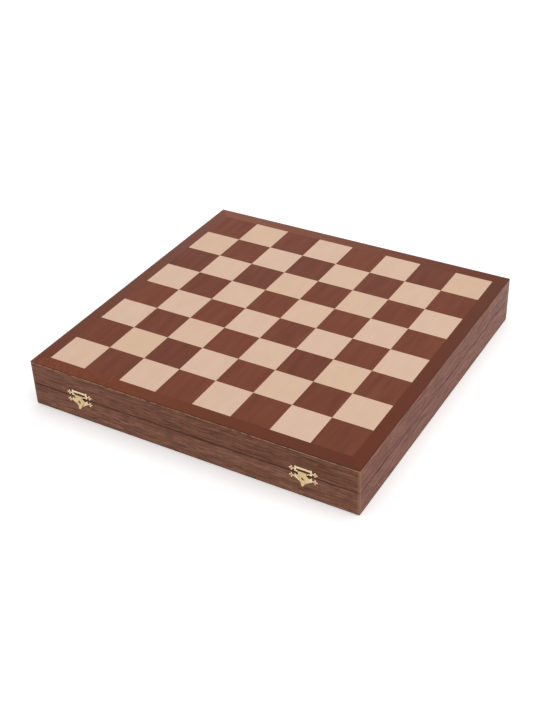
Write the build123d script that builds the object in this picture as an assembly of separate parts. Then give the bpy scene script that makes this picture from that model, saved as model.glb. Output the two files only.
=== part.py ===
"""A chess set kept in its own board: a square hinged case whose lid is the chessboard.

Millimetres, +Z up. The origin is the middle of the underside, so the case stands on z = 0. The front,
with the two latches, faces -Y, and the hinges are on the back, at +Y. The case was made as one closed box
and sawn in half, so the lid and the base are equally high and the open lid lies flat on the table behind
the base.
"""

import os
from itertools import pairwise
from math import radians, tan

from build123d import *

# The board and the case
SQUARE = 40.0  # one square of the playing surface
BOARD_ROWS = 8
BORDER = 14.0  # veneer border round the squares
CASE_HEIGHT = 49.0
RAIL_THICKNESS = 8.0
RABBET = 4.0  # how far the panels run into the rails
VENEER = 0.6
LID_CORE = 4.4
BASE_PANEL = 3.5
EASED_CORNER = 0.6  # chamfer of the upright corners
EASED_EDGE = 0.4  # chamfer along the rims and the underside

CASE_SIDE = BOARD_ROWS * SQUARE + 2 * BORDER
HALF_SIDE = CASE_SIDE / 2
PARTING = CASE_HEIGHT / 2  # height of the joint line between base and lid
INNER_SIDE = CASE_SIDE - 2 * RAIL_THICKNESS
PANEL_SIDE = INNER_SIDE + 2 * RABBET
LID_RAIL_TOP = CASE_HEIGHT - VENEER
LID_CORE_BOTTOM = LID_RAIL_TOP - LID_CORE

# The trays and the pad that hold the chessmen
TRAY_TOP = 21.5  # also the height of every chessman's axis
TRAY_DEPTH = INNER_SIDE / 2
PAD_THICKNESS = 5.0
POCKET_DRAFT = 12.0  # degrees, so that a tray leaves its mould
POCKET_CLEARANCE = 0.5

# The hinges
HINGE_X = 105.0  # each side of the middle
HINGE_LENGTH = 30.0
KNUCKLES = 3
KNUCKLE_RADIUS = 2.0
KNUCKLE_GAP = 0.15
PIN_RADIUS = 1.0
HINGE_RUNNING_CLEARANCE = 0.05
HINGE_AXIS_Y = HALF_SIDE + KNUCKLE_RADIUS + 0.3
LEAF_THICKNESS = 0.75
LEAF_MORTISE = 0.8
LEAF_REACH = 6.8  # from the back of the rail into the rim
HINGE_SCREW_SPACING = 18.0
SCREW_HEAD_RADIUS = 1.7
SCREW_SHANK_RADIUS = 0.9
SCREW_LENGTH = 7.0

# The latches, measured from the parting line and outwards from the front of the case
LATCH_X = {"left": -118.0, "right": 120.5}  # nailed on by eye, so not quite alike
LATCH_SHEET = 0.6  # both plates
FLAP_SHEET = 0.7
LATCH_NAIL_X = 11.5
LATCH_NAIL_Y = 3.9
FLEUR_REACH = 2.6
FLEUR_TIP = 0.35
NECK_HEIGHT = 1.7
FRAME_HALF_WIDTH = 8.6
FRAME_BAR = 1.6
FRAME_TOP = 7.2
FRAME_LOW = 1.5
SLOT_TOP = 5.0
BUMP_RADIUS = 0.8
BUMP_X = 7.9
ROD_RADIUS = 0.7
ROD_Y = 2.3
ROD_OUT = 1.45
LUG_WIDTH = 1.2
BARREL_RADIUS = 1.35
BARREL_HALF_LENGTH = 4.0
BARREL_END_GAP = 0.2
FLAP_CLEARANCE = 0.06
FLAP_NECK = (4.0, 0.4)
FLAP_SHOULDER = (6.8, -1.7)
FLAP_WAIST = (1.6, -9.5)
FLAP_TIP = 1.45
FLAP_LIP = 0.9  # length of the bent tip before its round end
LIP_BEND = 35.0
FLAP_HOLE_RADIUS = 1.35
FLAP_HOLE_Y = -3.5
NIB_RADIUS = 1.0
NIB_HEIGHT = 0.4  # above the plate, so that it ends just behind the flap
CATCH_TOP = -1.8
CATCH_SHOULDER = -5.2
CATCH_TIP = (1.6, -10.0)
NAIL_HEAD_RADIUS = 0.95
NAIL_HEAD = 0.45
NAIL_SHANK_RADIUS = 0.5
NAIL_LENGTH = 6.0

# Small and turned pieces are drawn with flats round them, to keep the set light
FASTENER_FLATS = 6
PAWN_FLATS = 8
CHESSMAN_FLATS = 10

# The chessmen: foot radius, height, widest radius of the head, and length of the foot up to the stem
CHESSMEN = {
    "king": (15.0, 76.0, 8.6, 21.0),
    "queen": (14.0, 67.0, 8.2, 19.0),
    "bishop": (12.8, 56.0, 6.2, 16.0),
    "knight": (13.0, 51.0, 6.6, 11.0),
    "rook": (12.8, 42.0, 9.0, 13.0),
    "pawn": (11.5, 38.0, 6.8, 12.0),
}
BACK_RANK = ("rook", "knight", "bishop", "queen", "king", "bishop", "knight", "rook")
RANK_FOOT_Y = 156.0  # the back rank's feet, from the middle of the case
BATTLEMENT_GAP = 2.6
BATTLEMENT_HEIGHT = 3.5
PAWN_FOOT_Y = 66.0
KNIGHT_BACK = -10.6
KNIGHT_NOSE = 14.2


def box(x, y, z):
    """A box between three (low, high) pairs."""
    spans = (x, y, z)
    size = [high - low for low, high in spans]
    middle = [(high + low) / 2 for low, high in spans]
    return Pos(*middle) * Box(*size)


def square_block(side, low, high):
    return box((-side / 2, side / 2), (-side / 2, side / 2), (low, high))


def mitred(ring):
    """Cuts a square ring along its diagonals into a front, right, back and left length."""
    reach = CASE_SIDE
    sector = extrude(Polygon((0, 0), (-reach, -reach), (reach, -reach), align=None), reach)
    names = ("front", "right", "back", "left")
    return {name: ring & (Rot(0, 0, 90 * turn) * sector) for turn, name in enumerate(names)}


def turned(stations, flats=CHESSMAN_FLATS):
    """A lathe-turned body from (radius, height) stations, with flats round it and one corner turned down."""
    rings = []
    for radius, height in stations:
        corners = [Vector(0, radius, height).rotate(Axis.Z, 360 * n / flats) for n in range(flats)]
        rings.append(corners)
    faces = [Face(Wire.make_polygon(ring)) for ring in (rings[0], rings[-1])]
    for lower, upper in pairwise(rings):
        for n in range(flats):
            after = (n + 1) % flats
            faces.append(Face(Wire.make_polygon([lower[n], lower[after], upper[after], upper[n]])))
    return Solid(Shell(faces))


# The case


def rail_ring(low, high):
    """Four walls with eased upright corners, before they are cut at the mitres."""
    outside = square_block(CASE_SIDE, low, high)
    outside = chamfer(outside.edges().filter_by(Axis.Z), EASED_CORNER)
    return outside - square_block(INNER_SIDE, low, high)


def leaf_mortises(side):
    """Shallow recesses for both hinge leaves in the rim of the base's back rail (-1) or the lid's (1)."""
    z = sorted((PARTING, PARTING + side * LEAF_MORTISE))
    y = (HALF_SIDE - LEAF_REACH, HALF_SIDE + 1)
    half = HINGE_LENGTH / 2
    return [box((x - half, x + half), y, z) for x in (-HINGE_X, HINGE_X)]


def base_rails():
    ring = rail_ring(0, PARTING)
    rim = ring.faces().sort_by(Axis.Z)[-1].outer_wire().edges()
    underside = ring.faces().sort_by(Axis.Z)[0].outer_wire().edges()
    ring = chamfer(rim + underside, EASED_EDGE)
    rails = mitred(ring - square_block(PANEL_SIDE, 0, BASE_PANEL))
    rails["back"] -= leaf_mortises(-1) + hinge_screws(-1)
    rails["front"] -= latch_nails(-1)
    return rails


def lid_rails():
    ring = rail_ring(PARTING, LID_RAIL_TOP)
    rim = ring.faces().sort_by(Axis.Z)[0].outer_wire().edges()
    ring = chamfer(rim, EASED_EDGE)
    rails = mitred(ring - square_block(PANEL_SIDE, LID_CORE_BOTTOM, LID_RAIL_TOP))
    rails["back"] -= leaf_mortises(1) + hinge_screws(1)
    rails["front"] -= latch_nails(1)
    return rails


def border_strips():
    """The mitred veneer border. Its outer top edge is sanded to a small chamfer."""
    sheet = square_block(CASE_SIDE, LID_RAIL_TOP, CASE_HEIGHT)
    sheet = chamfer(sheet.edges().filter_by(Axis.Z), EASED_CORNER)
    sheet = chamfer(sheet.faces().sort_by(Axis.Z)[-1].edges(), VENEER / 2)
    return mitred(sheet - square_block(BOARD_ROWS * SQUARE, LID_RAIL_TOP, CASE_HEIGHT))


def board_squares(light):
    """The light or the dark squares, each a separate piece of veneer. The front left square is light."""
    found = []
    for column in range(BOARD_ROWS):
        for row in range(BOARD_ROWS):
            if ((column + row) % 2 == 0) == light:
                x = (column - BOARD_ROWS / 2) * SQUARE
                y = (row - BOARD_ROWS / 2) * SQUARE
                found.append(box((x, x + SQUARE), (y, y + SQUARE), (LID_RAIL_TOP, CASE_HEIGHT)))
    return found


# The hinges


def knuckle_spans(side):
    """The stretches of a hinge, from its middle, that belong to the base's leaf (-1) or the lid's (1)."""
    step = HINGE_LENGTH / KNUCKLES
    first = 0 if side < 0 else 1
    starts = [-HINGE_LENGTH / 2 + n * step for n in range(first, KNUCKLES, 2)]
    return [(start + KNUCKLE_GAP / 2, start + step - KNUCKLE_GAP / 2) for start in starts]


def along_x(radius, span):
    """A round bar along X, centred on the X axis."""
    low, high = span
    return Pos((low + high) / 2, 0, 0) * (Rot(0, 90, 0) * Cylinder(radius, high - low))


def leaf_face(side):
    """Height of the leaf's face at the parting line."""
    return PARTING + side * (LEAF_MORTISE - LEAF_THICKNESS)


def hinge_screws(side):
    """The countersunk, tapered screws of the base's leaves (-1) or the lid's (1), with their heads flush."""
    stations = [
        (SCREW_HEAD_RADIUS, 0),
        (SCREW_SHANK_RADIUS, LEAF_THICKNESS),
        (SCREW_SHANK_RADIUS / 3, SCREW_LENGTH),
    ]
    screw = turned([(radius, side * depth) for radius, depth in stations], FASTENER_FLATS)
    y = HALF_SIDE - LEAF_REACH / 2
    offset = HINGE_SCREW_SPACING / 2
    places = [hinge + along for hinge in (-HINGE_X, HINGE_X) for along in (-offset, offset)]
    return [Pos(x, y, leaf_face(side)) * screw for x in places]


def hinge_leaf(x, side):
    """One leaf with its knuckles, round x. side is -1 for the base and 1 for the lid."""
    face = leaf_face(side)
    z = sorted((face, face + side * LEAF_THICKNESS))
    half = HINGE_LENGTH / 2
    notch = HINGE_AXIS_Y - KNUCKLE_RADIUS - KNUCKLE_GAP
    leaf = box((-half, half), (HALF_SIDE - LEAF_REACH, notch), z)
    axis = Pos(0, HINGE_AXIS_Y, PARTING)
    for span in knuckle_spans(side):
        leaf += box(span, (notch, HINGE_AXIS_Y), z)
        leaf += axis * along_x(KNUCKLE_RADIUS, span)
    bore = PIN_RADIUS if side < 0 else PIN_RADIUS + HINGE_RUNNING_CLEARANCE
    leaf -= axis * along_x(bore, (-half, half))
    return Pos(x, 0, 0) * leaf - hinge_screws(side)


def hinge_pin(x):
    half = HINGE_LENGTH / 2
    return Pos(x, HINGE_AXIS_Y, PARTING) * along_x(PIN_RADIUS, (-half, half))


# The latches: x along the front, y up from the parting line, z outwards from the front of the case


def latch_place(x):
    return Plane(origin=(x, -HALF_SIDE, PARTING), x_dir=(1, 0, 0), z_dir=(0, -1, 0))


def mirrored(sketch):
    return sketch + mirror(sketch, about=Plane.YZ)


def fleur():
    """The four-pointed ornament at the end of a plate: blunt tips with hollow sides between them."""
    reach, tip, hollow = FLEUR_REACH, FLEUR_TIP, 0.36 * FLEUR_REACH
    quarter = [Vector(reach, -tip), Vector(reach, tip), Vector(hollow, hollow)]
    corners = [corner.rotate(Axis.Z, 90 * turn) for turn in range(4) for corner in quarter]
    return Sketch() + Polygon(*corners, align=None)


def plate_end(side):
    """The right-hand fleur of the lid's plate (1) or the base's (-1), and the neck that joins it."""
    y = side * LATCH_NAIL_Y
    length = LATCH_NAIL_X - FRAME_HALF_WIDTH
    neck = Pos(FRAME_HALF_WIDTH + length / 2, y) * Rectangle(length + 2, NECK_HEIGHT)
    return Pos(LATCH_NAIL_X, y) * fleur() + neck


def latch_nail():
    """A round-headed nail on the Z axis, with the wood's face at z = 0."""
    stations = [
        (NAIL_SHANK_RADIUS / 3, LATCH_SHEET - NAIL_LENGTH),
        (NAIL_SHANK_RADIUS, LATCH_SHEET),
        (NAIL_HEAD_RADIUS, LATCH_SHEET),
        (0.5 * NAIL_HEAD_RADIUS, LATCH_SHEET + NAIL_HEAD),
    ]
    return turned(stations, FASTENER_FLATS)


def nails_of_one(side):
    return [Pos(x, side * LATCH_NAIL_Y, 0) * latch_nail() for x in (-LATCH_NAIL_X, LATCH_NAIL_X)]


def latch_nails(side):
    """The nails of both plates on the lid (1) or on the base (-1), in the case's own frame."""
    return [latch_place(x) * nail for x in LATCH_X.values() for nail in nails_of_one(side)]


def bumps(y):
    """The small points that stand on the plate's upper corners."""
    return mirrored(Pos(BUMP_X, y) * RegularPolygon(BUMP_RADIUS, 4))


def hasp_plate():
    """The plate on the lid: a slotted frame between two fleurs.

    The frame's lower bar is cut away in the middle, where a raised rod between two lugs carries the flap.
    """
    slot_half = FRAME_HALF_WIDTH - FRAME_BAR
    rod_top = ROD_Y + ROD_RADIUS
    gap_half = BARREL_HALF_LENGTH + BARREL_END_GAP
    outline = mirrored(plate_end(1)) + bumps(FRAME_TOP)
    frame_height = FRAME_TOP - FRAME_LOW
    outline += Pos(0, FRAME_LOW + frame_height / 2) * Rectangle(2 * FRAME_HALF_WIDTH, frame_height)
    outline -= Pos(0, (rod_top + SLOT_TOP) / 2) * Rectangle(2 * slot_half, SLOT_TOP - rod_top)
    outline -= Pos(0, (FRAME_LOW + rod_top) / 2) * Rectangle(2 * gap_half, rod_top - FRAME_LOW)
    plate = extrude(outline, LATCH_SHEET) - nails_of_one(1)
    for lug in ((-gap_half - LUG_WIDTH, -gap_half), (gap_half, gap_half + LUG_WIDTH)):
        plate += box(lug, (FRAME_LOW, rod_top), (0, ROD_OUT))
    rod_half = gap_half + LUG_WIDTH
    return plate + Pos(0, ROD_Y, ROD_OUT) * along_x(ROD_RADIUS, (-rod_half, rod_half))


def catch_plate():
    """The plate on the base: a shield between two fleurs, with the nib that the flap closes over."""
    with BuildSketch() as shield:
        with BuildLine():
            Line((0, CATCH_TOP), (FRAME_HALF_WIDTH, CATCH_TOP))
            Line((FRAME_HALF_WIDTH, CATCH_TOP), (FRAME_HALF_WIDTH, CATCH_SHOULDER))
            ThreePointArc((FRAME_HALF_WIDTH, CATCH_SHOULDER), (5.0, -7.3), CATCH_TIP)
            Line(CATCH_TIP, (0, CATCH_TIP[1]))
            Line((0, CATCH_TIP[1]), (0, CATCH_TOP))
        make_face()
    outline = mirrored(shield.sketch) + mirrored(plate_end(-1)) + bumps(CATCH_TOP)
    nib = turned([(NIB_RADIUS, 0), (0.6 * NIB_RADIUS, LATCH_SHEET + NIB_HEIGHT)], FASTENER_FLATS)
    return extrude(outline, LATCH_SHEET) + Pos(0, FLAP_HOLE_Y, 0) * nib - nails_of_one(-1)


def flap():
    """The kite-shaped flap: a barrel round the hasp's rod, a pierced sheet, and a tip bent outwards."""
    back = ROD_OUT - FLAP_SHEET / 2
    with BuildSketch() as kite:
        with BuildLine():
            Line((0, ROD_Y), (BARREL_HALF_LENGTH, ROD_Y))
            Line((BARREL_HALF_LENGTH, ROD_Y), FLAP_NECK)
            Line(FLAP_NECK, FLAP_SHOULDER)
            ThreePointArc(FLAP_SHOULDER, (4.3, -5.5), FLAP_WAIST)
            Line(FLAP_WAIST, (0, FLAP_WAIST[1]))
            Line((0, FLAP_WAIST[1]), (0, ROD_Y))
        make_face()
    outline = mirrored(kite.sketch) - Pos(0, FLAP_HOLE_Y) * Circle(FLAP_HOLE_RADIUS)
    sheet = Pos(0, 0, back) * extrude(outline, FLAP_SHEET)
    axis = Pos(0, ROD_Y, ROD_OUT)
    barrel = axis * along_x(BARREL_RADIUS, (-BARREL_HALF_LENGTH, BARREL_HALF_LENGTH))
    lip_outline = Rectangle(2 * FLAP_TIP, FLAP_LIP, align=(Align.CENTER, Align.MAX))
    lip_outline += Pos(0, -FLAP_LIP) * Circle(FLAP_TIP)
    bend = Pos(0, FLAP_WAIST[1] + 0.3, back) * Rot(-LIP_BEND, 0, 0)
    lip = bend * extrude(lip_outline, FLAP_SHEET)
    bore = along_x(ROD_RADIUS + FLAP_CLEARANCE, (-FRAME_HALF_WIDTH, FRAME_HALF_WIDTH))
    return sheet + barrel + lip - axis * bore


# The chessmen, each standing on z = 0 with its axis on Z


def foot_stations(radius, foot, stem):
    """The stepped foot that every chessman shares, up to where its stem begins."""
    return [(radius, 0), (radius, 0.24 * foot), (0.72 * radius, 0.5 * foot), (stem, foot)]


def pawn():
    radius, height, head, foot = CHESSMEN["pawn"]
    middle = height - head
    neck = middle - 0.8 * head
    stations = foot_stations(radius, foot, 0.45 * radius)
    stations += [(0.3 * radius, neck - 2.6), (0.58 * radius, neck - 1), (0.4 * radius, neck)]
    stations += [(head, middle - 0.2 * head), (0.9 * head, middle + 0.45 * head), (0.3 * head, height)]
    return turned(stations, PAWN_FLATS)


def rook():
    radius, height, head, foot = CHESSMEN["rook"]
    floor = height - BATTLEMENT_HEIGHT - 1
    stations = foot_stations(radius, foot, 0.6 * radius)
    stations += [(0.5 * radius, 0.62 * height), (head, 0.74 * height), (head, height)]
    tower = turned(stations) - turned([(0.68 * head, floor), (0.68 * head, height + 1)])
    gap = (-BATTLEMENT_GAP / 2, BATTLEMENT_GAP / 2)
    for turn in (45, 135):
        tower -= Rot(0, 0, turn) * box((-head, head), gap, (height - BATTLEMENT_HEIGHT, height + 1))
    return tower


def bishop():
    radius, height, head, foot = CHESSMEN["bishop"]
    collar, ball = 0.6 * height, 1.9
    neck = height - 1.7 * ball
    stations = foot_stations(radius, foot, 0.48 * radius)
    stations += [(0.28 * radius, collar), (0.47 * radius, collar + 1), (0.47 * radius, collar + 2.5)]
    stations += [(head, 0.74 * height), (0.86 * head, 0.83 * height), (0.16 * head, neck), (ball, neck + 1)]
    mitre = turned(stations + [(ball, height - 1), (0.4 * ball, height)])
    slot = Pos(0.62 * head, 0, 0.86 * height) * (Rot(0, 40, 0) * Box(1.2, 3 * head, 11))
    return mitre - slot


def queen():
    radius, height, head, foot = CHESSMEN["queen"]
    collar, crown, ball = 0.62 * height, 0.9 * height, 2.6
    stations = foot_stations(radius, foot, 0.5 * radius)
    stations += [(0.3 * radius, collar), (0.56 * radius, collar + 1.2), (0.56 * radius, collar + 3)]
    stations += [(0.38 * radius, collar + 5), (head, crown), (0.8 * head, crown + 1.5)]
    stations += [(0.3 * head, crown + 2.2), (ball, height - 2.6), (ball, height - 1.8)]
    return turned(stations + [(0.4 * ball, height)])


def king():
    radius, height, head, foot = CHESSMEN["king"]
    collar, crown, cross = 0.6 * height, 0.83 * height, 8.0
    stations = foot_stations(radius, foot, 0.5 * radius)
    stations += [(0.3 * radius, collar), (0.56 * radius, collar + 1.2), (0.56 * radius, collar + 3)]
    stations += [(0.38 * radius, collar + 5), (head, crown), (0.9 * head, crown + 1.6), (1.6, height - cross)]
    top = height - cross
    upright = box((-1.1, 1.1), (-1.1, 1.1), (top - 0.5, height))
    arms = box((-3.2, 3.2), (-1.1, 1.1), (top + 3, top + 5.2))
    return turned(stations) + upright + arms


def knight():
    """A turned foot under a horse's head, cut from three sides: its profile, its front, and its plan."""
    radius, height, head, foot = CHESSMEN["knight"]
    base = turned([(radius, 0), (radius, 0.24 * foot), (0.8 * radius, 0.6 * foot), (0.7 * radius, foot)])
    with BuildSketch() as profile:
        with BuildLine():
            ThreePointArc((8.6, foot), (9.6, 18), (4.8, 27))  # chest and throat
            Line((4.8, 27), (11.4, 26.2))  # jaw
            Line((11.4, 26.2), (KNIGHT_NOSE, 29.6))  # chin and lips
            Line((KNIGHT_NOSE, 29.6), (12.6, 34.4))  # nostril
            Line((12.6, 34.4), (6.4, 44))  # nose and forehead
            Line((6.4, 44), (3.4, height))  # ear
            Line((3.4, height), (-0.6, 46.4))
            ThreePointArc((-0.6, 46.4), (KNIGHT_BACK, 31), (-8.6, foot))  # mane
            Line((-8.6, foot), (8.6, foot))
        make_face()
    front_corners = [(0, foot), (head, foot), (5.4, 28), (5.4, 38), (2.2, height), (0, height)]
    half_front = Polygon(*front_corners, align=None)
    back, nose = KNIGHT_BACK - 1, KNIGHT_NOSE + 1
    plan_corners = [(back, 0), (nose, 0), (nose, 3), (6, head), (-4, head), (back, 2.6)]
    half_plan = Polygon(*plan_corners, align=None)
    head_cut = extrude(Plane.XZ * profile.sketch, head, both=True)
    head_cut &= extrude(Plane.YZ * mirrored(half_front), 2 * radius, both=True)
    head_cut &= extrude(half_plan + mirror(half_plan, about=Plane.XZ), height)
    return base + head_cut


MAKERS = {"king": king, "queen": queen, "bishop": bishop, "knight": knight, "rook": rook, "pawn": pawn}


def column_x(column):
    return (column - (BOARD_ROWS - 1) / 2) * SQUARE


def lying(x, foot_y, towards):
    """Lays a standing chessman down in its pocket, with its head towards +Y (1) or -Y (-1)."""
    return Plane(origin=(x, foot_y, TRAY_TOP), x_dir=(1, 0, 0), z_dir=(0, towards, 0))


def army(towards):
    """Yields (kind, x, foot_y) for the sixteen chessmen whose heads point towards +Y (1) or -Y (-1)."""
    for column, kind in enumerate(BACK_RANK):
        yield kind, column_x(column), -towards * RANK_FOOT_Y
    for column in range(BOARD_ROWS):
        yield "pawn", column_x(column), -towards * PAWN_FOOT_Y


def pocket_part(x, y, depth):
    """A drafted recess, flat at its bottom, as wide as x at its mouth and as long as y at its bottom."""
    inset = depth * tan(radians(POCKET_DRAFT))
    width = x[1] - x[0]
    length = y[1] - y[0] + 2 * inset
    hollow = Rot(-90, 0, 0) * Wedge(width, depth, length, inset, inset, width - inset, length - inset)
    return Pos((x[0] + x[1]) / 2, (y[0] + y[1]) / 2, TRAY_TOP - depth / 2) * hollow


def pocket(kind, x, foot_y, towards):
    """The recess for one chessman: deep under its foot and shallower under its head, so that both rest."""
    radius, height, head, foot = CHESSMEN[kind]
    gap = POCKET_CLEARANCE
    foot_end = sorted((foot_y - towards * gap, foot_y + towards * (foot + gap)))
    head_end = sorted((foot_y, foot_y + towards * (height + gap)))
    head_x = (-head - gap, head + gap)
    if kind == "knight":
        head_x = (KNIGHT_BACK - 3 * gap, KNIGHT_NOSE + 3 * gap)
    deep = pocket_part((x - radius - gap, x + radius + gap), foot_end, radius)
    return deep + pocket_part((x + head_x[0], x + head_x[1]), head_end, head)


def tray(towards):
    """A flocked foam tray with sixteen pockets, in the base's front half (1) or its back half (-1)."""
    half = INNER_SIDE / 2
    y = sorted((-towards * half, -towards * (half - TRAY_DEPTH)))
    block = box((-half, half), y, (BASE_PANEL, TRAY_TOP))
    return block - [pocket(kind, x, foot_y, towards) for kind, x, foot_y in army(towards)]


# Writing the parts


def save(name, shapes):
    """Writes one node, a single piece or a list of like pieces."""
    pieces = shapes if isinstance(shapes, list) else [shapes]
    solids = [solid for piece in pieces for solid in piece.solids()]
    node = solids[0] if len(solids) == 1 else Compound(children=solids)
    export_step(node, f"parts/{name}.step")


def save_case():
    for end, rail in base_rails().items():
        save(f"base_rail_{end}", rail)
    save("base_panel", square_block(PANEL_SIDE, 0, BASE_PANEL))
    for end, rail in lid_rails().items():
        save(f"lid_rail_{end}", rail)
    save("lid_panel", square_block(PANEL_SIDE, LID_CORE_BOTTOM, LID_RAIL_TOP))
    save("lid_pad", square_block(INNER_SIDE, LID_CORE_BOTTOM - PAD_THICKNESS, LID_CORE_BOTTOM))
    for end, strip in border_strips().items():
        save(f"border_strip_{end}", strip)
    save("light_squares", board_squares(light=True))
    save("dark_squares", board_squares(light=False))


def save_metalwork():
    for hand, turn in (("left", -1), ("right", 1)):
        save(f"base_hinge_leaf_{hand}", hinge_leaf(turn * HINGE_X, -1))
        save(f"lid_hinge_leaf_{hand}", hinge_leaf(turn * HINGE_X, 1))
        save(f"hinge_pin_{hand}", hinge_pin(turn * HINGE_X))
        place = latch_place(LATCH_X[hand])
        save(f"hasp_plate_{hand}", place * hasp_plate())
        save(f"catch_plate_{hand}", place * catch_plate())
        save(f"latch_flap_{hand}", place * flap())
    save("base_hinge_screws", hinge_screws(-1))
    save("lid_hinge_screws", hinge_screws(1))
    save("catch_nails", latch_nails(-1))
    save("hasp_nails", latch_nails(1))


def save_chessmen():
    standing = {kind: make() for kind, make in MAKERS.items()}
    for colour, towards in (("white", 1), ("black", -1)):
        save(f"{colour}_tray", tray(towards))
        groups = {}
        for kind, x, foot_y in army(towards):
            groups.setdefault(kind, []).append(lying(x, foot_y, towards) * standing[kind])
        for kind, men in groups.items():
            save(f"{colour}_{kind}" if len(men) == 1 else f"{colour}_{kind}s", men)


os.makedirs("parts", exist_ok=True)
save_case()
save_metalwork()
save_chessmen()
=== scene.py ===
# %% [markdown]
# # A chess set in its own board
#
# The object is a shallow square case in two halves. Its lid is the chessboard, two stamped brass
# latches hold it shut at the front, and two small butt hinges join it at the back. Inside, the
# men lie in flocked trays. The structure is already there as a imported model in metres, with +Z up
# and the origin in the middle of the underside. This file only dresses it: it gives every surface
# its finish, and puts finer pieces over the plain ones.

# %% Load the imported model
import math

import bmesh
import bpy
import numpy as np
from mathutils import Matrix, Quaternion, Vector


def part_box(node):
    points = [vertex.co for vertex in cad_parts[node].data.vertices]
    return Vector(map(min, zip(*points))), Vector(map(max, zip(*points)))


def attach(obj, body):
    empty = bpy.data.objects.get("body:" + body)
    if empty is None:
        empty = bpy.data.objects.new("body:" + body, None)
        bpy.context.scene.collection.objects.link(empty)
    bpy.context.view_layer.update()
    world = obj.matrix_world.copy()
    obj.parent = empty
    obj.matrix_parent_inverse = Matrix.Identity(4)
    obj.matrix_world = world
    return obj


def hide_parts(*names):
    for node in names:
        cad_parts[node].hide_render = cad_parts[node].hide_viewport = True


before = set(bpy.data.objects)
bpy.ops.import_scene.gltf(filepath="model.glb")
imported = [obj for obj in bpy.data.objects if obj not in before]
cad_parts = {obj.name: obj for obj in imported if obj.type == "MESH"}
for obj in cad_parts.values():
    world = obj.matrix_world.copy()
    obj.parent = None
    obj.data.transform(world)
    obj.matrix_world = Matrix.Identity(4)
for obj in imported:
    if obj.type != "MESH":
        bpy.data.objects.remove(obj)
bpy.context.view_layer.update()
MM = 0.001

# %% [markdown]
# ## Sizes that the finish needs
#
# A grain line runs along a wall, and a square changes colour at its edge, so the finishes need a
# few places on the case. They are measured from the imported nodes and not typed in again, so they
# can't disagree with them. HALF and INNER are half the case's width, outside and inside.

# %% Measure the case
board_low, board_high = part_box("dark_squares")
SQUARE = (board_high.x - board_low.x) / 8
TOP = board_high.z
VENEER = board_high.z - board_low.z
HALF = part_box("base_rail_right")[1].x
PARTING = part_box("base_rail_front")[1].z
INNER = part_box("white_tray")[1].x
PAD_LOW, PAD_HIGH = (corner.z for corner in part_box("lid_pad"))
print("square", round(SQUARE / MM, 2), "mm, case", round(2 * HALF / MM, 1), "mm, top at",
      round(TOP / MM, 1))

# %% [markdown]
# ## The camera
#
# The photograph was taken from the front right and well above. Its camera was worked out from the
# corners of the board: where it stands, the point on the board that it looks at, a small roll to
# one side, and its focal length. A sensor of 36 mm lies along the longer side of the picture,
# which is its height.

# %% Place the camera
CAMERA_PLACE = Vector((0.4982, -0.8488, 0.6752))
CAMERA_AIM = Vector((0.0275, -0.0680, TOP))
CAMERA_ROLL = math.radians(-2.14)
FOCAL_LENGTH, SENSOR = 58.94, 36.0
scene = bpy.context.scene
camera = bpy.data.objects.new("camera", bpy.data.cameras.new("camera"))
camera.data.lens = FOCAL_LENGTH
camera.data.sensor_width = SENSOR
camera.location = CAMERA_PLACE
camera.rotation_mode = "QUATERNION"
towards_board = (CAMERA_AIM - CAMERA_PLACE).to_track_quat("-Z", "Y")
camera.rotation_quaternion = towards_board @ Quaternion((0, 0, 1), CAMERA_ROLL)
scene.collection.objects.link(camera)
scene.camera = camera
print("camera is", round((CAMERA_AIM - CAMERA_PLACE).length, 3), "m from the board")

# %% [markdown]
# ## Nodes and colours
#
# Every finish below is a small net of shader nodes. One helper adds a node: settings become its
# properties, and the dictionary fills its sockets, by a value or by a link from another node.
# Colours are written as they look on a screen, and one function turns them into the linear values
# that a shader reckons with. Most of a wood's look is one tone laid over another where a mask
# says so, as a painter lays glazes, so another helper does that.

# %% Helpers for shader nodes
A, B = 6, 7  # a Mix node's two colours. Its factor is socket 0, and its colour is output 2.
# A Map Range node's sockets are the value, the range it comes from (1, 2) and the new one (3, 4).


def linear(hex_colour):
    """An sRGB colour such as #8A5A3C as linear red, green, blue and alpha, by the sRGB curve."""
    values = np.array([int(hex_colour[n:n + 2], 16) / 255 for n in (1, 3, 5)])
    values = np.where(values <= 0.04045, values / 12.92, ((values + 0.055) / 1.055) ** 2.4)
    return (*values.tolist(), 1.0)


def fill(tree, node, sockets):
    """Fills a node's sockets, each with a value or with a link from another node's socket."""
    for key, value in sockets.items():
        if isinstance(value, bpy.types.NodeSocket):
            tree.links.new(value, node.inputs[key])
        else:
            node.inputs[key].default_value = value


def add(tree, kind, sockets=None, **settings):
    """Adds one shader node, sets its properties and fills its sockets."""
    made = tree.nodes.new("ShaderNode" + kind)
    for name, value in settings.items():
        setattr(made, name, value)
    fill(tree, made, sockets or {})
    return made


def laid_over(tree, under, tone, share, *masks):
    """A colour with a hex tone laid over it, as strongly as a share times every mask."""
    for mask in masks:
        share = add(tree, "Math", {0: share, 1: mask}, operation="MULTIPLY").outputs[0]
    return add(tree, "Mix", {0: share, A: under, B: linear(tone)}, data_type="RGBA").outputs[2]


def finish_called(name):
    """A new material, its node tree and its Principled shader."""
    material = bpy.data.materials.new(name)
    material.use_nodes = True
    return material, material.node_tree, material.node_tree.nodes["Principled BSDF"]


def wear(node, material):
    """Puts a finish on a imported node."""
    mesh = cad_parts[node].data
    mesh.materials.clear()
    mesh.materials.append(material)


print("brown is", [round(value, 3) for value in linear("#6D493B")])

# %% [markdown]
# ## Patterns in real millimetres
#
# Wood, brass and cloth all get their figure from noise, and what turns noise into one of them is
# its size and its direction. A picture could be wrapped round each piece instead, but it would
# blur close up and need unwrapping, so the patterns below take sizes in millimetres. They read
# Object coordinates, which move with the piece, so a pattern stays put when the lid opens.

# %% Helpers for patterns


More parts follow.
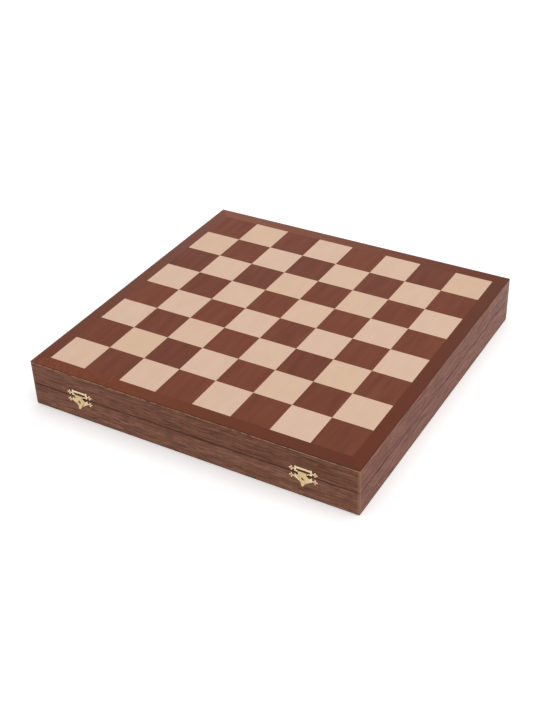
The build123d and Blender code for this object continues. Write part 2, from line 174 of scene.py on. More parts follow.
def streaks(tree, along, length, width, low, high, detail=2.0):
    """Noise drawn out along one axis (0, 1 or 2) into streaks of that length and width in mm.
    It gives 0 where the noise is below low, 1 where it is above high, and a slope between."""
    cells = [1 / (width * MM)] * 3
    cells[along] = 1 / (length * MM)
    place = add(tree, "TexCoord").outputs["Object"]
    spot = add(tree, "Mapping", {"Vector": place, "Scale": cells}).outputs[0]
    noise = add(tree, "TexNoise", {"Vector": spot, "Scale": 1.0, "Detail": detail}).outputs[0]
    return add(tree, "MapRange", {0: noise, 1: low, 2: high}).outputs[0]


def stripe(tree, value, low, high, soft):
    """1 where a value lies between two limits, with soft flanks outside them."""
    rising = add(tree, "MapRange", {0: value, 1: low - soft, 2: low}).outputs[0]
    falling = add(tree, "MapRange", {0: value, 1: high, 2: high + soft, 3: 1.0, 4: 0.0}).outputs[0]
    return add(tree, "Math", {0: rising, 1: falling}, operation="MULTIPLY").outputs[0]


def square_number(tree, channel):
    """A random value from 0 to 1, the same all over a square. channel picks one of three."""
    place = add(tree, "TexCoord").outputs["Object"]
    per_square = (1 / SQUARE, 1 / SQUARE, 0)
    counted = add(tree, "VectorMath", {0: place, 1: per_square}, operation="MULTIPLY")
    whole = add(tree, "VectorMath", {0: counted.outputs[0]}, operation="FLOOR")
    noise = add(tree, "TexWhiteNoise", {"Vector": whole.outputs[0]})
    return add(tree, "SeparateColor", {0: noise.outputs["Color"]}).outputs[channel]


def distance_out(tree):
    """How far a point is from the middle of the case along X or Y, whichever is more."""
    place = add(tree, "TexCoord").outputs["Object"]
    size = add(tree, "VectorMath", {0: place}, operation="ABSOLUTE").outputs[0]
    parts = add(tree, "SeparateXYZ", {0: size}).outputs
    return add(tree, "Math", {0: parts["X"], 1: parts["Y"]}, operation="MAXIMUM").outputs[0]


print("a streak 200 mm long is", round(200 * MM / SQUARE, 1), "squares long")

# %% [markdown]
# ## Walnut veneer for the walls
#
# The walls are faced with a thin sheet of walnut: grey-brown, with fine dark pores like short
# pencil strokes that all run along the wall. Solid wood would be one block of noise, but a veneer
# has several scales at once: wide bands of tone from the log's growth, dark and light lines inside
# them, then pores, and hairs finer still. Each is noise drawn out along the wall, and only the
# pores and hairs are deep enough to catch the light, so only they reach the bump. A rubbed satin
# lacquer gives a soft shine. The rims show plain wood under the veneer when the case is open.
# There is a dark line of painted shade where the halves meet. The top arrises are painted pale,
# partly for wear and partly as a painted highlight, and the walls' corners get a painted highlight.

# %% Rub down the lacquer
SATIN = 0.1  # specular level of the rubbed lacquer on every veneer


def rubbed_lacquer(tree, shader, colour, lines, roughness, relief, strength, depth, sunk=True):
    """Ends a veneer. Its roughness runs between two values as lines go from 0 to 1, and the
    relief is sunk or raised by a depth in mm."""
    rough = add(tree, "MapRange", {0: lines, 3: roughness[0], 4: roughness[1]}).outputs[0]
    sockets = {"Height": relief, "Strength": strength, "Distance": depth * MM}
    bump = add(tree, "Bump", sockets, invert=sunk).outputs[0]
    fill(tree, shader, {"Base Color": colour, "Roughness": rough, "Normal": bump,
                        "Specular IOR Level": SATIN})


print("lacquer with a specular level of", SATIN)

# %% Make the walnut veneer
SEAM, SEAM_SOFT = 0.35 * MM, 0.4 * MM  # half the line of painted shade between the halves, and its blur
ARRIS = (TOP - VENEER - 1.1 * MM, TOP - VENEER - 0.2 * MM)  # the strip below the board painted pale, for wear and a painted highlight
GLUE_LINE = 0.1 * MM  # how far the glue shows below the board's veneer
CORNER_HIGHLIGHT = 1.6 * MM  # how far the painted highlight at a corner reaches along a wall
# The glue colour also paints the shade in the seam between the halves.
WALNUT = {"pale": "#A57059", "mean": "#895640", "dark": "#4B2A1F", "light": "#B98468",
          "core": "#A57E58", "wear_and_highlight": "#B08A6C", "glue": "#3A1A12"}


def walnut_veneer(name, along, painted_wall_shade, edge_wear_and_highlight):
    """Walnut along X (0) or Y (1). The wall's shade is painted: a tone multiplied over the whole
    wall for how the light falls on it. The edge share is how pale its top arris is painted,
    partly for wear and partly as a painted highlight."""
    material, tree, shader = finish_called(name)
    bands = streaks(tree, along, 200, 7, 0.3, 0.7)
    lines = streaks(tree, along, 30, 1.3, 0.42, 0.62, 3)
    light = streaks(tree, along, 20, 0.9, 0.53, 0.66)
    pores = streaks(tree, along, 12, 0.75, 0.5, 0.6)
    hairs = streaks(tree, along, 6, 0.24, 0.54, 0.6)
    colour = laid_over(tree, linear(WALNUT["pale"]), WALNUT["mean"], 1, bands)
    colour = laid_over(tree, colour, WALNUT["dark"], 0.5, lines)
    colour = laid_over(tree, colour, WALNUT["light"], 0.55, light)
    colour = laid_over(tree, colour, WALNUT["dark"], 0.52, pores)
    colour = laid_over(tree, colour, WALNUT["dark"], 0.38, hairs)
    # Painted shade: one tone for the whole wall, for how the light falls on that wall.
    shade = {0: 1.0, A: colour, B: linear(painted_wall_shade)}
    colour = add(tree, "Mix", shade, data_type="RGBA", blend_type="MULTIPLY").outputs[2]
    place = add(tree, "TexCoord").outputs["Object"]
    size = add(tree, "VectorMath", {0: place}, operation="ABSOLUTE").outputs[0]
    parts = add(tree, "SeparateXYZ", {0: size}).outputs
    reach, height = parts["XY"[along]], parts["Z"]
    seam = stripe(tree, height, PARTING - SEAM, PARTING + SEAM, SEAM_SOFT)
    arris = stripe(tree, height, *ARRIS, 0.2 * MM)
    dots = streaks(tree, along, 3.5, 3.5, 0.3, 0.6)
    glue = stripe(tree, height, TOP - VENEER - GLUE_LINE, TOP, GLUE_LINE)
    corner = stripe(tree, reach, HALF - CORNER_HIGHLIGHT, HALF, 1.2 * MM)
    # Painted shade in the gap between the halves, in the glue's dark colour.
    colour = laid_over(tree, colour, WALNUT["glue"], 0.85, seam)
    # The top arris is painted pale and dotted, partly for wear and partly as a painted highlight.
    colour = laid_over(tree, colour, WALNUT["wear_and_highlight"], edge_wear_and_highlight, arris, dots)
    colour = laid_over(tree, colour, WALNUT["glue"], 0.6, glue)
    # Painted highlight along each corner of the wall, where its rounded edge would catch the light.
    colour = laid_over(tree, colour, WALNUT["wear_and_highlight"], 0.3, corner)
    skin = {0: distance_out(tree), 1: HALF - VENEER}
    skin = add(tree, "Math", skin, operation="GREATER_THAN").outputs[0]
    grain = streaks(tree, along, 40, 1.1, 0.3, 0.75, 3)
    core = laid_over(tree, linear(WALNUT["core"]), WALNUT["mean"], 0.35, grain)
    colour = add(tree, "Mix", {0: skin, A: core, B: colour}, data_type="RGBA").outputs[2]
    depth = add(tree, "Math", {0: pores, 1: hairs}, operation="MAXIMUM").outputs[0]
    rubbed_lacquer(tree, shader, colour, lines, (0.38, 0.5), depth, 0.3, 0.08)
    return material


print("the seam is", round(2 * SEAM / MM, 1), "mm wide and", round(PARTING / MM, 1), "mm up")

# %% Face the walls
# Each wall: its grain's direction, its painted shade, and how pale its top arris is painted.
WALLS = {"lid_rail_front": (0, "#E6E2E1", 0.8), "base_rail_front": (0, "#F9FCFF", 0.8),
         "lid_rail_right": (1, "#E0C9C3", 0.1), "base_rail_right": (1, "#E6D7D9", 0.1),
         "lid_rail_back": (0, "#E9E2E1", 0.3), "base_rail_back": (0, "#F2EBEB", 0.3),
         "lid_rail_left": (1, "#E9E2E1", 0.3), "base_rail_left": (1, "#F2EBEB", 0.3)}
for node, (direction, tone, edge_wear_and_highlight) in WALLS.items():
    wear(node, walnut_veneer(f"walnut veneer {node}", direction, tone, edge_wear_and_highlight))
print("walnut on", len(WALLS), "walls")

# %% [markdown]
# ## Mahogany for the board
#
# The board is a sheet of squares cut from two veneers: red-brown mahogany and pale maple. Squares
# are cut from different places in a leaf, so each has a tone of its own, which is what stops a
# checkerboard looking printed. A random number for each whole square gives that tone, and the
# grain runs from front to back in all of them, because the squares are taped together from long
# strips. The mahogany border has its grain along each strip.

# %% Make the mahogany veneer
MAHOGANY = {"pale": "#77402C", "mean": "#693523", "dark": "#4C2419", "red": "#8E4424",
            "glue": "#3A1A12"}
# Each border strip: its direction, its colour at either end, and how much curly figure it has.
# The back and left strips are lighter towards the back left corner, a painted sheen of the lacquer.
BORDERS = {"front": (0, "#733A1D", "#5A2A18", 1.0), "right": (1, "#622C16", "#5E2F1D", 0.1),
           "back": (0, "#85513E", "#622A18", 0.2), "left": (1, "#66321F", "#744436", 0.2)}
GLUE_EDGE = 0.35 * MM  # how far in the glue shows from the board's edge


def mahogany_veneer(name, along, first=None, last=None, figure=0.0):
    """Mahogany with its grain along X (0) or Y (1): the squares, or a border strip from one end's
    colour to the other's, with curly figure across it that fades out along the strip."""
    material, tree, shader = finish_called(name)
    ribbon = streaks(tree, along, 60, 7, 0.3, 0.72)
    lines = streaks(tree, along, 35, 1.3, 0.35, 0.75, 3)
    pores = streaks(tree, along, 7, 0.5, 0.6, 0.7)
    if first:
        parts = add(tree, "SeparateXYZ", {0: add(tree, "TexCoord").outputs["Object"]}).outputs
        way = add(tree, "MapRange", {0: parts["XY"[along]], 1: -HALF, 2: HALF}).outputs[0]
        faded = {0: way, 1: 0.0, 2: 0.5, 3: figure, 4: 0.1 * figure}
        fade = add(tree, "MapRange", faded).outputs[0]
        curl = streaks(tree, 1 - along, 6, 2.2, 0.42, 0.62)
        glue = stripe(tree, distance_out(tree), HALF - GLUE_EDGE, HALF, 0.15 * MM)
        # Colour from one end to the other. On the back and left strips the lighter end, at the back
        # left corner, is a painted sheen.
        colour = laid_over(tree, linear(first), last, 1, way)
        colour = laid_over(tree, colour, MAHOGANY["red"], 0.5, fade)
        colour = laid_over(tree, colour, MAHOGANY["dark"], 0.6, fade, curl)
        colour = laid_over(tree, colour, MAHOGANY["glue"], 0.5, glue)
    else:
        colour = laid_over(tree, linear(MAHOGANY["pale"]), MAHOGANY["mean"], 1, ribbon)
        colour = laid_over(tree, colour, MAHOGANY["dark"], 0.26, square_number(tree, 0))
        colour = laid_over(tree, colour, MAHOGANY["red"], 0.2, square_number(tree, 1))
    colour = laid_over(tree, colour, MAHOGANY["dark"], 0.1, lines)
    colour = laid_over(tree, colour, MAHOGANY["dark"], 0.16, pores)
    rubbed_lacquer(tree, shader, colour, ribbon, (0.36, 0.44), pores, 0.2, 0.04)
    return material


wear("dark_squares", mahogany_veneer("mahogany veneer squares", 1))
for side, (direction, first, last, figure) in BORDERS.items():
    strip = mahogany_veneer(f"mahogany veneer {side} border", direction, first, last, figure)
    wear(f"border_strip_{side}", strip)
print("mahogany on the dark squares and", len(BORDERS), "border strips")

# %% [markdown]
# ## Maple for the board
#
# Maple is nearly white and so close-grained that it shows only hair-fine fibres and soft clouds.
# The same streaks as for the mahogany draw it, at a fraction of their strength. Its fibres catch
# the light as if raised, where the mahogany's pores are sunk.

# %% Make the maple veneer
MAPLE = {"pink": "#D9B9A4", "straw": "#D7B79B", "fibre": "#C29D80", "back_right_shade": "#D0AE8E"}


def maple_veneer():
    """Maple with its grain along Y: nearly plain, with hair-fine fibres and a blush or a straw
    tint by the square. The square in the back right corner is painted darker and yellower,
    as painted shade for the light falling off towards the back right."""
    material, tree, shader = finish_called("maple veneer squares")
    fibres = streaks(tree, 1, 22, 0.9, 0.4, 0.75, 3)
    clouds = streaks(tree, 1, 30, 12, 0.35, 0.7, 1)
    place = add(tree, "SeparateXYZ", {0: add(tree, "TexCoord").outputs["Object"]}).outputs
    last_square = (3 * SQUARE, 4 * SQUARE, 0.1 * MM)
    across, up = (stripe(tree, place[axis], *last_square) for axis in "XY")
    colour = laid_over(tree, linear(MAPLE["pink"]), MAPLE["straw"], 1, square_number(tree, 0))
    # Painted shade: the back right square darker and yellower, where the light falls off.
    colour = laid_over(tree, colour, MAPLE["back_right_shade"], 0.45, across, up)
    colour = laid_over(tree, colour, MAPLE["fibre"], 0.12, clouds)
    colour = laid_over(tree, colour, MAPLE["fibre"], 0.14, fibres)
    rubbed_lacquer(tree, shader, colour, fibres, (0.36, 0.44), fibres, 0.12, 0.03, sunk=False)
    return material


wear("light_squares", maple_veneer())
print("maple on the light squares")

# %% [markdown]
# ## Plywood, where nothing is meant to show
#
# The bottom of the base and the core of the lid are birch plywood: pale, rotary-cut, with broad
# wavy figure and no shine. Only the underside of the case shows it.

# %% Make the birch plywood
BIRCH = {"pale": "#C9A67E", "dark": "#A9825A"}


def birch_plywood():
    """Birch ply: broad bands along X, fine short fibres, a dry sanded surface."""
    material, tree, shader = finish_called("birch plywood")
    bands = streaks(tree, 0, 180, 22, 0.35, 0.7, 3)
    fibres = streaks(tree, 0, 18, 0.8, 0.4, 0.75)
    colour = laid_over(tree, linear(BIRCH["pale"]), BIRCH["dark"], 1, bands)
    colour = laid_over(tree, colour, BIRCH["dark"], 0.3, fibres)
    bump = add(tree, "Bump", {"Height": fibres, "Strength": 0.25, "Distance": 0.05 * MM})
    fill(tree, shader, {"Base Color": colour, "Roughness": 0.7, "Normal": bump.outputs[0]})
    return material


plywood = birch_plywood()
for node in ("base_panel", "lid_panel"):
    wear(node, plywood)
print("plywood on 2 panels")

# %% [markdown]
# ## Polished brass
#
# The latches and hinges are stamped from thin brass strip and tumbled bright, so they are pale
# yellow with soft highlights and a few darker spots where they have tarnished. A metal's colour is
# the colour of its reflections: metallic 1, low roughness, and the IOR left alone.

# %% Make the brass
# The nails' pair is darker than the rest: painted shade for where the nails and screws sit.
BRASS = {"plates": ("#E5CEAE", "#C2A070"), "flaps": ("#D9C293", "#AB8D59"),
         "nails": ("#C4A36A", "#8E6C3C")}


def stamped_brass(name, bright, tarnish, stipple=0.0):
    """Brass with small clouds of tarnish, fine random scratches and, at will, a stippled relief
    0.6 mm across."""
    material, tree, shader = finish_called(name)
    clouds = streaks(tree, 0, 1.7, 1.7, 0.5, 0.85, 3)
    scratches = streaks(tree, 0, 3.0, 0.22, 0.45, 0.7)
    dents = streaks(tree, 0, 0.6, 0.6, 0.4, 0.6, 1)
    pits = add(tree, "Math", {0: dents, 1: stipple}, operation="MULTIPLY").outputs[0]
    colour = laid_over(tree, linear(bright), tarnish, 1, clouds)
    colour = laid_over(tree, colour, tarnish, 0.5, pits)
    rough = add(tree, "MapRange", {0: clouds, 3: 0.2, 4: 0.4}).outputs[0]
    scratched = {"Height": scratches, "Strength": 0.12, "Distance": 0.02 * MM}
    scratched = add(tree, "Bump", scratched).outputs[0]
    pitted = {"Height": pits, "Strength": 0.5, "Distance": 0.06 * MM, "Normal": scratched}
    pitted = add(tree, "Bump", pitted).outputs[0]
    fill(tree, shader, {"Base Color": colour, "Metallic": 1.0, "Roughness": rough,
                        "Normal": pitted})
    return material


plate_brass = stamped_brass("bright stamped brass", *BRASS["plates"])
flap_brass = stamped_brass("rolled sheet brass", *BRASS["flaps"], stipple=0.7)
hinge_brass = stamped_brass("drawn hinge brass", *BRASS["flaps"])
# Nails and screws get a darker brass than the plates, as painted shade for the dark spots they
# make.
shaded_nail_brass = stamped_brass("drawn brass in painted shade", *BRASS["nails"])
HANDS = ("left", "right")
for hand in HANDS:
    for part in ("base_hinge_leaf", "lid_hinge_leaf", "hinge_pin"):
        wear(f"{part}_{hand}", hinge_brass)
print("brass on the leaves and pins of 2 hinges")

# %% [markdown]
# ## Green flock and baize
#
# The trays are foam with short green fibres shot onto it, and the lid pad is covered with baize, a
# felted wool. Both are matt, a little lighter where the fibres stand towards a grazing light (the
# sheen), and mottled because the fibres lie in all directions. Single fibres are far too fine to
# draw, so the mottling is made about a millimetre wide, in patches of 14 mm.

# %% Make the green cloth finishes
GREEN = {"deep": "#16382A", "raised": "#24503B", "sheen": "#7FA98F"}


def green_nap(name, grain):
    """A short green nap. grain is the width of its finest mottling in mm."""
    material, tree, shader = finish_called(name)
    tufts = streaks(tree, 0, grain, grain, 0.3, 0.7)
    clouds = streaks(tree, 0, 14, 14, 0.35, 0.7)
    colour = laid_over(tree, linear(GREEN["deep"]), GREEN["raised"], 0.6, tufts)
    colour = laid_over(tree, colour, GREEN["raised"], 0.3, clouds)
    bump = add(tree, "Bump", {"Height": tufts, "Strength": 0.5, "Distance": 0.15 * MM})
    fill(tree, shader, {"Base Color": colour, "Roughness": 0.95, "Normal": bump.outputs[0],
                        "Sheen Weight": 0.35, "Sheen Roughness": 0.5,
                        "Sheen Tint": linear(GREEN["sheen"])})
    return material


flock = green_nap("green flock", 0.6)
baize = green_nap("green baize", 1.1)
print("2 green finishes")

# %% [markdown]
# ## Surfaces from arrays
#
# Every new piece below is a surface over a grid of two parameters, worked out as whole numpy
# arrays. These helpers turn such a grid of points into a mesh. A grid can be closed along its
# columns, as round a turned body, and its first and last rows can be closed with one face each,
# so the mesh has no holes.

# %% Helpers for grids


def turning(count):
    """Angles at even steps once round a circle."""
    return np.linspace(0, 2 * np.pi, count, endpoint=False)


def grid_faces(rows, columns, closed, looped=False):
    """The four corners of every cell of a grid of points numbered row by row. A closed grid joins
    its last column to its first, and a looped one joins its last row to its first."""
    across = np.arange(columns if closed else columns - 1)
    row, column = np.meshgrid(np.arange(rows if looped else rows - 1), across, indexing="ij")
    after, above = (column + 1) % columns, (row + 1) % rows
    corners = [row * columns + column, row * columns + after,
               above * columns + after, above * columns + column]
    return np.stack(corners, -1).reshape(-1, 4)


def edge_loop(rows, columns):
    """The numbers of the points round the edge of such a grid, in order."""
    number = np.arange(rows * columns).reshape(rows, columns)
    return np.concatenate([number[0, :-1], number[:-1, -1], number[-1, :0:-1], number[:0:-1, 0]])


def round_body(points):
    """Vertices and faces of a body from rows of points round an axis, closed at both ends."""
    rows, columns = points.shape[:2]
    faces = grid_faces(rows, columns, True).tolist()
    faces.append(list(range(columns))[::-1])
    faces.append(list(range((rows - 1) * columns, rows * columns)))
    return points.reshape(-1, 3), faces


def ring_body(points):
    """Vertices and faces of a ring from rows of points, joined to itself both ways like a tyre."""
    rows, columns = points.shape[:2]
    return points.reshape(-1, 3), grid_faces(rows, columns, True, looped=True).tolist()


print("a grid of 3 by 4 points has", len(grid_faces(3, 4, False)), "cells")

# %% Helpers for soft steps and hills


def smoothstep(value):
    """0 below 0, 1 above 1, and a smooth S between."""
    value = np.clip(value, 0, 1)
    return value * value * (3 - 2 * value)


def hill(value, middle, width):
    """A soft hill: 1 at the middle, falling to nothing over about the width on either side."""
    return np.exp(-(((value - middle) / width) ** 2))


print("a step is", smoothstep(0.25), "high a quarter of the way along")

# %% Make a piece of the parts


def make_piece(name, body, slot, material, parts, replaced=()):
    """One smooth object from a list of closed parts, each (vertices, faces), turned so that every
    face looks outwards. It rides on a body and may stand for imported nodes."""
    vertices, faces, start = [], [], 0
    for points, polygons in parts:
        vertices.append(points)
        faces += [[start + corner for corner in polygon] for polygon in polygons]
        start += len(points)
    mesh = bpy.data.meshes.new(name)
    mesh.from_pydata(np.vstack(vertices).tolist(), [], faces)
    mesh.validate()
    shell = bmesh.new()
    shell.from_mesh(mesh)
    bmesh.ops.recalc_face_normals(shell, faces=shell.faces)
    shell.to_mesh(mesh)
    shell.free()
    mesh.polygons.foreach_set("use_smooth", [True] * len(mesh.polygons))
    mesh.materials.append(material)
    piece = bpy.data.objects.new(name, mesh)
    scene.collection.objects.link(piece)
    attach(piece, body)
    if replaced:
        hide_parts(*replaced)
    print(name, len(mesh.vertices), "vertices")
    return piece


print(len(bpy.data.materials), "finishes are ready for the new pieces")

# %% [markdown]
# ## The chessmen
#
# A chessman is turned on a lathe, so it is one outline spun round its axis. The outline is written
# as a few stations, each a radius and a height, with a bulge to the next: 0 is a straight cut, a
# positive bulge swells like a torus, and a negative one is hollowed like a cove. The bulge is how
# far the arc's middle stands off its chord, as a share of the chord. Radii are shares of the
# foot's radius and heights are shares of the man's height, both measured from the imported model.
# What isn't round is made by bending the spun surface: the rook's battlements, the bishop's cut
# and the queen's scalloped crown. Each man stands on a disc of baize.

# %% Spin an outline
TURNS = 48  # steps round a man
STEPS = 7  # points on an arc
AXIS_GAP = 0.004  # the smallest radius, as a share, so that no two points meet on the axis
BAIZE = 0.8 * MM

FOOT = [(0.96, 0.0, 0.3), (1.0, 0.045, 0.25), (0.95, 0.085, 0), (0.88, 0.09, 0.25),
        (0.82, 0.115, 0), (0.74, 0.12, -0.2)]


def outline(stations):
    """Points along arcs between stations: the chord's point plus the bulge times a parabola."""
    here, there = np.array(stations[:-1], float), np.array(stations[1:], float)
    t = np.linspace(0, 1, STEPS)[None, :-1, None]
    chord = (there - here)[:, None, :2]
    normal = np.stack([chord[..., 1], -chord[..., 0]], -1)
    arc = here[:, None, :2] + chord * t + normal * here[:, 2][:, None, None] * 4 * t * (1 - t)
    return np.vstack([arc.reshape(-1, 2), there[-1, :2]])


def spun(stations, radius, height, shape=None, turns=TURNS, foot=BAIZE):
    """The outline turned round Z, from the foot's height up to the full height. shape may then
    move the points, given their array, the angle and the two sizes."""
    line = outline(stations)
    angle = turning(turns)
    out = np.maximum(line[:, 0], AXIS_GAP)[:, None] * radius
    z = np.broadcast_to(foot + line[:, 1][:, None] * (height - foot), (len(line), turns))
    points = np.stack([out * np.cos(angle), out * np.sin(angle), z], -1)
    if shape:
        points = shape(points, angle, radius, height)
    return round_body(points)


print("an outline of", len(outline(FOOT)), "points for the foot")

# %% [markdown]
# ## The men's outlines
#
# A turner works to a few marks on the blank: the foot, the stem, the collars and the head. Each
# list below is such a set of marks, and all start from the same foot, which is what makes the men
# a set. Drawn as hundreds of points they would be hard to change, where a mark is three numbers.

# %% Outlines of the turned men
PAWN = FOOT + [
    (0.52, 0.26, -0.1), (0.40, 0.42, -0.04), (0.36, 0.565, 0), (0.60, 0.585, 0.5), (0.60, 0.62, 0),
    (0.38, 0.635, -0.2), (0.36, 0.665, 0.16), (0.59, 0.80, 0.16), (0.47, 0.93, 0.1),
    (0.22, 0.99, 0.05), (0.0, 1.0, 0)]
ROOK = FOOT + [
    (0.62, 0.24, -0.09), (0.52, 0.42, -0.02), (0.52, 0.60, -0.06), (0.60, 0.67, 0),
    (0.68, 0.68, 0.35), (0.70, 0.72, 0), (0.70, 1.0, 0), (0.50, 1.0, 0), (0.48, 0.88, 0),
    (0.0, 0.87, 0)]
BISHOP = FOOT + [
    (0.50, 0.22, -0.08), (0.34, 0.42, -0.03), (0.29, 0.57, 0), (0.47, 0.585, 0.5),
    (0.47, 0.605, 0), (0.36, 0.615, 0), (0.41, 0.622, 0.5), (0.41, 0.64, 0), (0.30, 0.65, 0.05),
    (0.485, 0.745, 0.13), (0.40, 0.85, 0.08), (0.10, 0.935, 0), (0.08, 0.94, 0.55),
    (0.08, 0.995, 0), (0.0, 1.0, 0)]
QUEEN = FOOT + [
    (0.50, 0.20, -0.08), (0.35, 0.40, -0.03), (0.30, 0.59, 0), (0.54, 0.605, 0.5),
    (0.54, 0.625, 0), (0.40, 0.635, 0), (0.46, 0.642, 0.5), (0.46, 0.66, 0), (0.33, 0.67, -0.05),
    (0.40, 0.80, -0.06), (0.585, 0.90, 0), (0.50, 0.915, 0), (0.44, 0.905, 0.1), (0.16, 0.935, 0),
    (0.14, 0.94, 0.55), (0.10, 0.985, 0.1), (0.0, 0.998, 0)]
KING = FOOT + [
    (0.50, 0.19, -0.08), (0.35, 0.38, -0.03), (0.30, 0.57, 0), (0.54, 0.585, 0.5),
    (0.54, 0.605, 0), (0.40, 0.615, 0), (0.46, 0.622, 0.5), (0.46, 0.638, 0), (0.33, 0.65, -0.05),
    (0.40, 0.75, -0.05), (0.565, 0.825, 0.3), (0.565, 0.845, 0), (0.50, 0.85, 0.14),
    (0.12, 0.885, -0.2), (0.09, 0.90, 0), (0.0, 0.901, 0)]
KNIGHT_FOOT = FOOT + [(0.70, 0.19, -0.2), (0.66, 0.215, 0), (0.0, 0.22, 0)]
DISC = [(0.0, 0.0, 0), (0.86, 0.0, 0.3), (0.89, 0.5, 0), (0.89, 1.0, 0), (0.0, 1.0, 0)]


def battlements(points, angle, radius, height):
    """Cuts four gaps in the rook's rim: above the rim's floor, a point between two merlons is
    pressed down to it."""
    floor = 0.9 * height
    merlon = smoothstep((np.abs(np.sin(2 * angle)) - 0.36) / 0.02)
    z = points[..., 2]
    points[..., 2] = np.where(z > floor, floor + (z - floor) * merlon, z)
    return points


def mitre_cut(points, angle, radius, height):
    """Presses a slanting groove 1.4 mm wide into one side of the bishop's head."""
    lean, half_width = 0.7, 0.7 * MM
    x, y, z = points[..., 0], points[..., 1], points[..., 2]
    slope = (z - 0.84 * height) * math.cos(lean) - (x - 0.3 * radius) * math.sin(lean)
    one_side = smoothstep((x + 0.05 * radius) / (0.15 * radius))
    groove = np.exp(-((slope / half_width) ** 4)) * one_side
    shrink = 1 - 0.4 * groove * (z > 0.66 * height)
    points[..., 0], points[..., 1] = x * shrink, y * shrink
    return points


def scallops(points, angle, radius, height):
    """Presses nine hollows into the rim of the queen's crown."""
    z = points[..., 2]
    near_rim = hill(z, 0.912 * height, 0.018 * height)
    points[..., 2] = z - 0.028 * height * near_rim * np.abs(np.cos(4.5 * angle)) ** 6
    return points


# Each turned man's outline, what bends it, and how many steps it needs round its axis.
TURNED = {"pawn": (PAWN, None, TURNS), "rook": (ROOK, battlements, 3 * TURNS),
          "bishop": (BISHOP, mitre_cut, TURNS), "queen": (QUEEN, scallops, TURNS),
          "king": (KING, None, TURNS)}
print("outlines:", {kind: len(outline(stations)) for kind, (stations, _, _) in TURNED.items()})

# %% [markdown]
# ## The king's cross
#
# The cross is a flat pattée: four arms that widen outwards. Its outline is a radius for each
# angle. Within an arm the radius follows the arm's flat end, and between two arms it falls to a
# small waist. The flat cross gets its thickness from a cushion profile: each ring is drawn in as
# it rises, so its edges are rounded.

# %% Make the king's cross
CROSS, WAIST = 0.052, 0.24  # half the cross as a share of the king, and its waist of that half


def cross(height):
    """A cross pattée standing at the top of the king, in the plane of X and Z."""
    size = CROSS * height
    angle = turning(96)
    from_arm = np.abs((angle + np.pi / 4) % (np.pi / 2) - np.pi / 4)
    arm = smoothstep((0.42 - from_arm) / 0.1)
    reach = size * (WAIST + (1 / np.cos(from_arm) - WAIST) * arm)
    rise = np.linspace(-np.pi / 2, np.pi / 2, 9)[:, None]
    ring = np.cos(rise) ** 0.4 * reach[None, :] * 0.98 + 1e-5
    thick = np.broadcast_to(np.sin(rise) * 0.3 * size, ring.shape)
    middle = height - size * 1.04
    points = np.stack([ring * np.sin(angle), thick, middle + ring * np.cos(angle)], -1)
    return round_body(points[:, ::-1])


print("cross", len(cross(76 * MM)[0]), "vertices")

# %% [markdown]
# ## The knights
#
# The knight is the carver's piece. Its head is a tube whose middle line climbs the neck and then
# turns forward and down to the muzzle. Each ring of the tube is an oval that stands square to that
# line, and its depth and width change along the way: a broad neck, a deep cheek, a narrow nose.
# The mane is a crest pushed out of the back of the neck, cut into locks by a wave. The eyes,
# brows and jaw are raised, and the sockets, nostrils and mouth are sunk, where the carver's gouge
# would leave them. Two ears are pointed cones, hollowed in front. All of it is in mm.

# %% Make the knight's head
SPINE = np.array([(-0.5, 10.0), (-1.3, 17.0), (-2.0, 24.0), (-1.6, 31.0), (0.4, 37.0), (3.8, 39.6),
                  (7.6, 37.6), (10.6, 33.8), (12.4, 30.6)])
HALF_DEPTH = np.array([8.2, 8.3, 7.4, 6.4, 6.2, 5.8, 4.7, 3.5, 3.1])
HALF_WIDTH = np.array([7.6, 6.4, 5.2, 4.7, 4.8, 4.7, 3.6, 2.8, 2.9])
# Each mark: its place along the spine and its reach, the same round the oval from the back, in
# radians, and how much it swells the oval there.
MARKS = {"eye": (0.68, 0.023, 1.0, 0.18, 0.3), "socket": (0.68, 0.05, 1.0, 0.36, -0.18),
         "brow": (0.635, 0.02, 0.8, 0.35, 0.08), "nostril": (0.945, 0.02, 1.05, 0.2, -0.3),
         "jaw": (0.63, 0.07, 2.2, 0.7, 0.15)}


def smooth_path(values, t):
    """Values at even steps, joined smoothly by cubic pieces that keep each step's mean slope."""
    values = np.asarray(values, float)
    padded = np.concatenate([2 * values[:1] - values[1:2], values, 2 * values[-1:] - values[-2:-1]])
    spot = t * (len(values) - 1)
    first = np.clip(spot.astype(int), 0, len(values) - 2)
    u = (spot - first).reshape((-1,) + (1,) * (values.ndim - 1))
    p0, p1, p2, p3 = (padded[first + n] for n in range(4))
    slope_in, slope_out = (p2 - p0) / 2, (p3 - p1) / 2
    return ((2 * u**3 - 3 * u**2 + 1) * p1 + (u**3 - 2 * u**2 + u) * slope_in
            + (3 * u**2 - 2 * u**3) * p2 + (u**3 - u**2) * slope_out)


